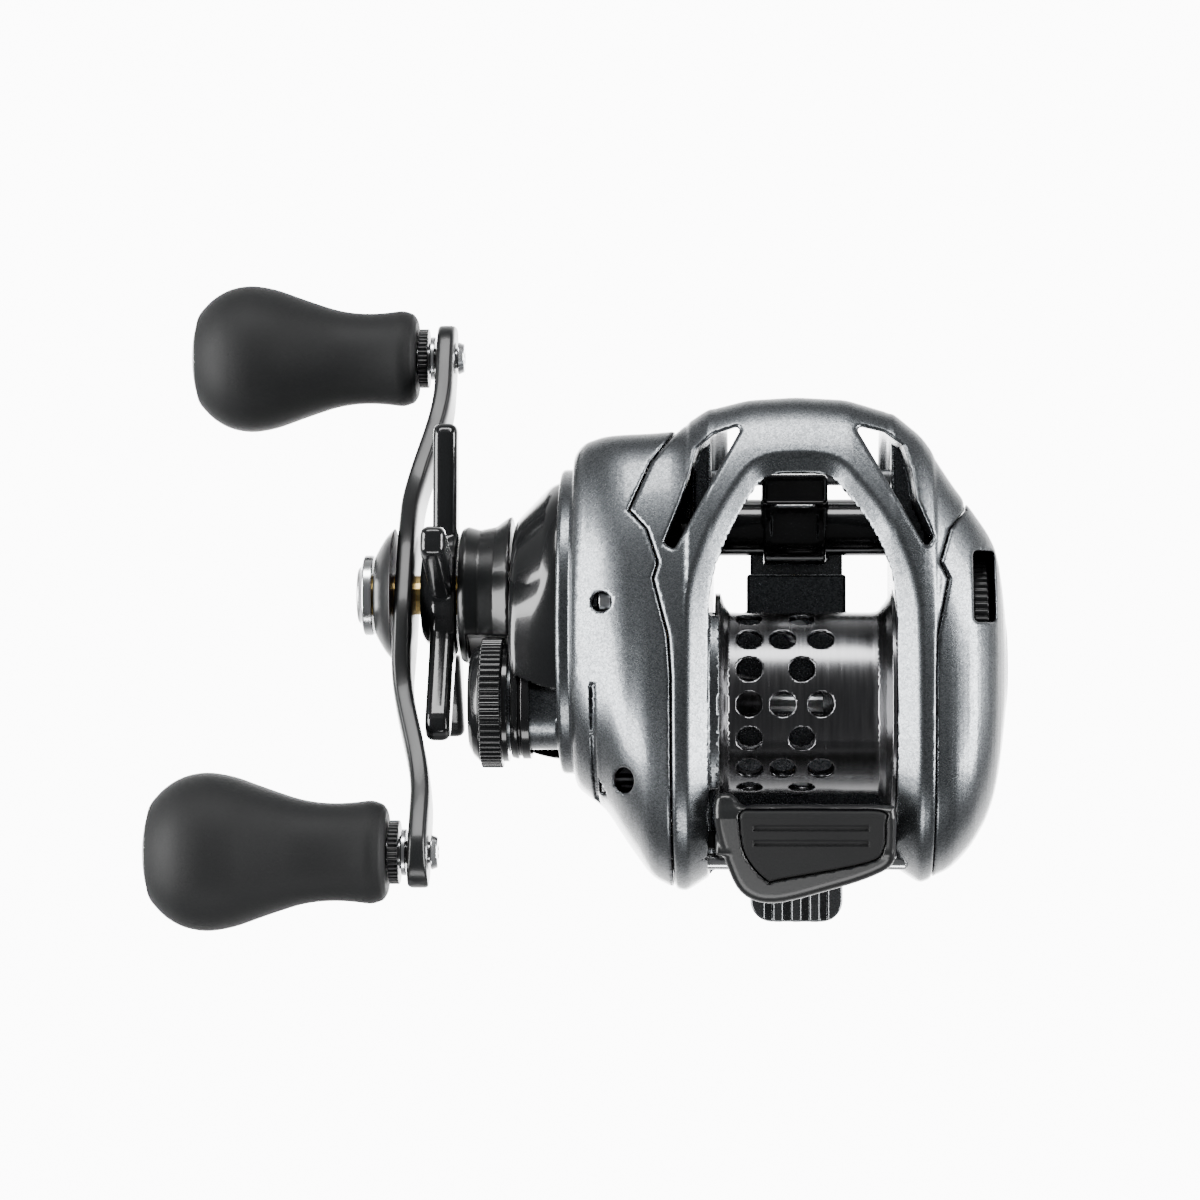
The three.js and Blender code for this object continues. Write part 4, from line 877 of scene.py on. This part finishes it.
PAD_EDGE = rounded_outline([(-8.8, -15.6), (-9.0, -17.6), (-8.2, -22.0), (-5.2, -25.6),
                            (-3.0, -25.4), (9.4, -22.9), (11.6, -20.8), (11.8, -17.4),
                            (11.6, -15.6), (6.0, -15.4), (-6.0, -15.4)], 5)


def pad_field(x, y, z):
    """The pad: its outline let into the slope, crowned a little, less two grooves across it."""
    top = z - bar_top(y) - 0.15
    slab = both(outline_field(x, y, PAD_EDGE), np.maximum(top, -top - 1.0), 0.5)
    grooves = np.minimum(np.hypot(y + 17.9, top) - 0.42, np.hypot(y + 20.1, top) - 0.42)
    grooves = np.maximum(grooves, np.abs(x - 1.2) - 8.4)
    return without(slab, grooves, 0.2)


carved("thumb_bar_arm", bar_field, (-19.5, -31, 23), (14.8, -11.8, 41.2), 0.26, "thumb_body",
       black_satin, ["thumb_bar"])
carved("thumb_bar_pad", pad_field, (-10, -27, 33), (13, -14, 41), 0.22, "thumb_body", grip_rubber,
       ["thumb_pad"])


# ---- Level wind ----
# A black slotted tube houses the worm, and the line guide slides on it and on a steel rail, with
# a hard bright eye let into its top.

RAIL_AXIS = (34.0, 12.4)
PILLAR_AXIS = (-23.4, 26.0)
ROD_PROFILE = [(-15.3, 0), (-15.3, 1.2), (15.3, 1.2), (15.3, 0)]

turned("guide_rod", ROD_PROFILE, RAIL_AXIS, "frame_body", steel, ["guide_rail"], around=32)
turned("rear_rod", ROD_PROFILE, PILLAR_AXIS, "frame_body", silver, ["rear_pillar"], around=32)


def tube_field(x, y, z):
    """A tube about the worm with a slot along its underside."""
    radial = radius_from(WORM_AXIS, y, z)
    tube = both(np.maximum(radial - 4.3, 3.1 - radial), np.maximum(-12.9 - x, x - 13.0), 0.3)
    return without(tube, box_field(x, y, z, (-11.5, 25.4, 4), (11.6, 27.6, 10.5), 0.3), 0.2)


carved("worm_tube", tube_field, (-13.6, 21.5, 5.5), (13.7, 31.5, 15.6), 0.3, "frame_body",
       black_gloss, ["level_wind_tube"])


def guide_field(x, y, z):
    """A ring on the tube, a saddle and a lug on the rail, and an upright with the eye's opening."""
    ring = rod_field(x, y, z, WORM_AXIS, -6.0, 3.8, 5.7)
    ring = both(ring, np.maximum(-6.0 - x, x - 3.8), 0.8)
    saddle = box_field(x, y, z, (-6, 26.5, 9), (3.8, 31, 15.6), 0.6)
    lug = box_field(x, y, z, (-6, 29, 10.2), (3.8, 36.2, 14.6), 0.7)
    upright = box_field(x, y, z, (-6, 29.5, 14), (3.8, 34, 25), 0.9)
    whole = either(either(either(ring, saddle, 0.8), lug, 0.6), upright, 0.6)
    cuts = np.minimum(rod_field(x, y, z, WORM_AXIS, -20, 20, 4.6),
                      rod_field(x, y, z, RAIL_AXIS, -20, 20, 1.5))
    cuts = np.minimum(cuts, box_field(x, y, z, (-4.6, 20, 15.8), (2.4, 40, 23.4), 0.3))
    cuts = np.minimum(cuts, np.maximum(np.hypot(x + 1.1, y - WORM_AXIS[0]) - 1.1, z - 8.0))
    return without(whole, cuts, 0.25)


carved("line_guide_body", guide_field, (-6.8, 20, 3.8), (4.6, 37, 26), 0.32, "guide_body",
       black_gloss, ["line_guide"])


def eye_field(x, y, z):
    """A flared frame round the line's opening."""
    flare = 0.35 * (np.clip(np.abs(y - 31.75), 0, 2.6) / 2.6) ** 2
    outer = box_field(x, y, z, (-4.3, 29.2, 16.1), (2.1, 34.3, 23.1), 0.6)
    inner = box_field(x, y, z, (-3.5, 20, 16.9), (1.3, 40, 22.3), 0.5) - flare
    return without(outer, inner, 0.3)


carved("line_eye", eye_field, (-5, 28.5, 15.4), (2.8, 35, 23.8), 0.22, "guide_body", silver,
       ["guide_eye"])


# ---- Foot ----
# The grey foot the rod's seat clamps, riveted under the frame, with grooves along both ends.

FOOT_X = -0.8


def foot_field(x, y, z):
    """A long plate with round corners, less four grooves at each end of its top."""
    plate = box_field(x, y, z, (FOOT_X - 7.1, -34.0, -6), (FOOT_X + 7.1, 27.0, 6), 3.4)
    plate = both(plate, np.maximum(-z, z - 2.3), 0.5)
    off = np.abs(np.abs(x - FOOT_X) - 2.8)
    grooves = np.maximum(np.abs(off - 1.4) - 0.62, np.maximum(1.4 - z, 25.4 - np.abs(y + 3.5)))
    return without(plate, grooves, 0.3)


grey_paint = flake_paint("grey_paint", (0.06, 0.063, 0.066, 1), (0.15, 0.155, 0.16, 1))
carved("foot_plate", foot_field, (-8.6, -34.8, -0.8), (7.0, 27.8, 3.2), 0.34, "frame_body",
       grey_paint, ["reel_foot"])


# ---- Brake dial ----
# A black knurled wheel on a post inside the palm cover, turned by the thumb through its window.

turned("brake_wheel", [(24.9, 2.3), (24.9, 12.6), (25.1, 13.4), (27.1, 13.4), (27.3, 12.6),
                       (27.3, 2.3)], DIAL_AXIS, "dial_body", black_satin, ["brake_dial"], ease=0.15,
       around=432, waves=72, depth=0.5, over=(25.0, 27.2, 12.9))


# ---- Studio ----
# A pale floor well below the reel that glows by its own emission, a painted pool of light: white
# in a square under it and dim beyond. Tall soft panels at both sides, smaller ones at the front
# and rear, and a camera above.

LIT_POINT = (0, 0, 0.02)              # where the panels face
AIR_STRENGTH = 0.13
FLOOR_Z = -0.80
FLOOR_REACH = 14.0
POOL_MIDDLE = (-0.065, 0.025, FLOOR_Z)
POOL_INNER = 0.25                     # half side of the square whose painted glow is full
POOL_OUTER = 0.36                     # half side of the square past which the painted glow is dim
EYE = (-3.3, 7.9, 622.0)              # the camera and the point that it faces, mm
EYE_TARGET = (-31.15, 15.64, 0.0)
EYE_LENS = 120.6


def panel(name, place, width, height, power):
    """A soft rectangular light at place, facing the reel."""
    light = bpy.data.lights.new(name, "AREA")
    light.shape = "RECTANGLE"
    light.size = width
    light.size_y = height
    light.energy = power
    lamp = bpy.data.objects.new(name, light)
    bpy.context.scene.collection.objects.link(lamp)
    lamp.location = place
    lamp.rotation_euler = (Vector(LIT_POINT) - Vector(place)).to_track_quat("-Z", "Y").to_euler()


panel("panel_left", (-0.80, 0.02, 0.33), 1.0, 0.52, 38)
panel("panel_right", (0.80, 0.02, 0.25), 1.0, 0.36, 34)
panel("panel_front", (-0.05, 0.85, 0.40), 0.7, 0.30, 12)
panel("panel_rear", (-0.05, -0.85, 0.36), 0.6, 0.26, 5)

world = bpy.data.worlds.new("studio_air")
world.use_nodes = True
air = world.node_tree.nodes["Background"].inputs
air["Color"].default_value = (0.95, 0.97, 1.0, 1)
air["Strength"].default_value = AIR_STRENGTH
bpy.context.scene.world = world

floor_mesh = bpy.data.meshes.new("studio_floor")
floor_mesh.from_pydata([(-FLOOR_REACH, -FLOOR_REACH, FLOOR_Z), (FLOOR_REACH, -FLOOR_REACH, FLOOR_Z),
                        (FLOOR_REACH, FLOOR_REACH, FLOOR_Z), (-FLOOR_REACH, FLOOR_REACH, FLOOR_Z)],
                       [], [(0, 1, 2, 3)])
studio_floor = bpy.data.objects.new("studio_floor", floor_mesh)
bpy.context.scene.collection.objects.link(studio_floor)
# Painted light: the floor's emission glows white in the square under the reel and fades to a faint
# glow beyond. Only the base colour's slight mottle is the paper's own tone.
glow_painted_floor, paper_place, feed_paper = coat_of("glow_painted_floor", {"Roughness": 0.9,
                                                               "Emission Strength": 9.0})
paper_tone = paper_place.node("ShaderNodeTexNoise", Vector=paper_place, Scale=3.0)
feed_paper("Base Color", paper_tone.mix((0.90, 0.90, 0.90, 1), (0.94, 0.94, 0.94, 1)))
offset = paper_place.node("ShaderNodeVectorMath", {"operation": "SUBTRACT"},
                          i0=paper_place, i1=POOL_MIDDLE)
offset = offset.node("ShaderNodeVectorMath", {"operation": "ABSOLUTE"}, i0=offset)
across = offset.node("ShaderNodeSeparateXYZ", Vector=offset)
along = offset.node("ShaderNodeSeparateXYZ", output=1, Vector=offset)
from_middle = across.math("MAXIMUM", across, along)
# Painted pool of light: the glow's colour is white inside the square and near black past it.
dimmed = ((from_middle - POOL_INNER) * (1 / (POOL_OUTER - POOL_INNER))).clamp()
feed_paper("Emission Color", dimmed.mix((1.0, 1.0, 1.0, 1), (0.013, 0.013, 0.013, 1)))
floor_mesh.materials.append(glow_painted_floor)

camera_data = bpy.data.cameras.new("studio_camera")
camera_data.sensor_width = 36.0
camera_data.lens = EYE_LENS
camera = bpy.data.objects.new("studio_camera", camera_data)
bpy.context.scene.collection.objects.link(camera)
camera.location = [c * MM for c in EYE]
backward = (camera.location - Vector([c * MM for c in EYE_TARGET])).normalized()
rightward = Vector((0, 1, 0)).cross(backward).normalized()
upward = backward.cross(rightward)
camera.rotation_euler = Matrix((rightward, upward, backward)).transposed().to_euler()
bpy.context.scene.camera = camera
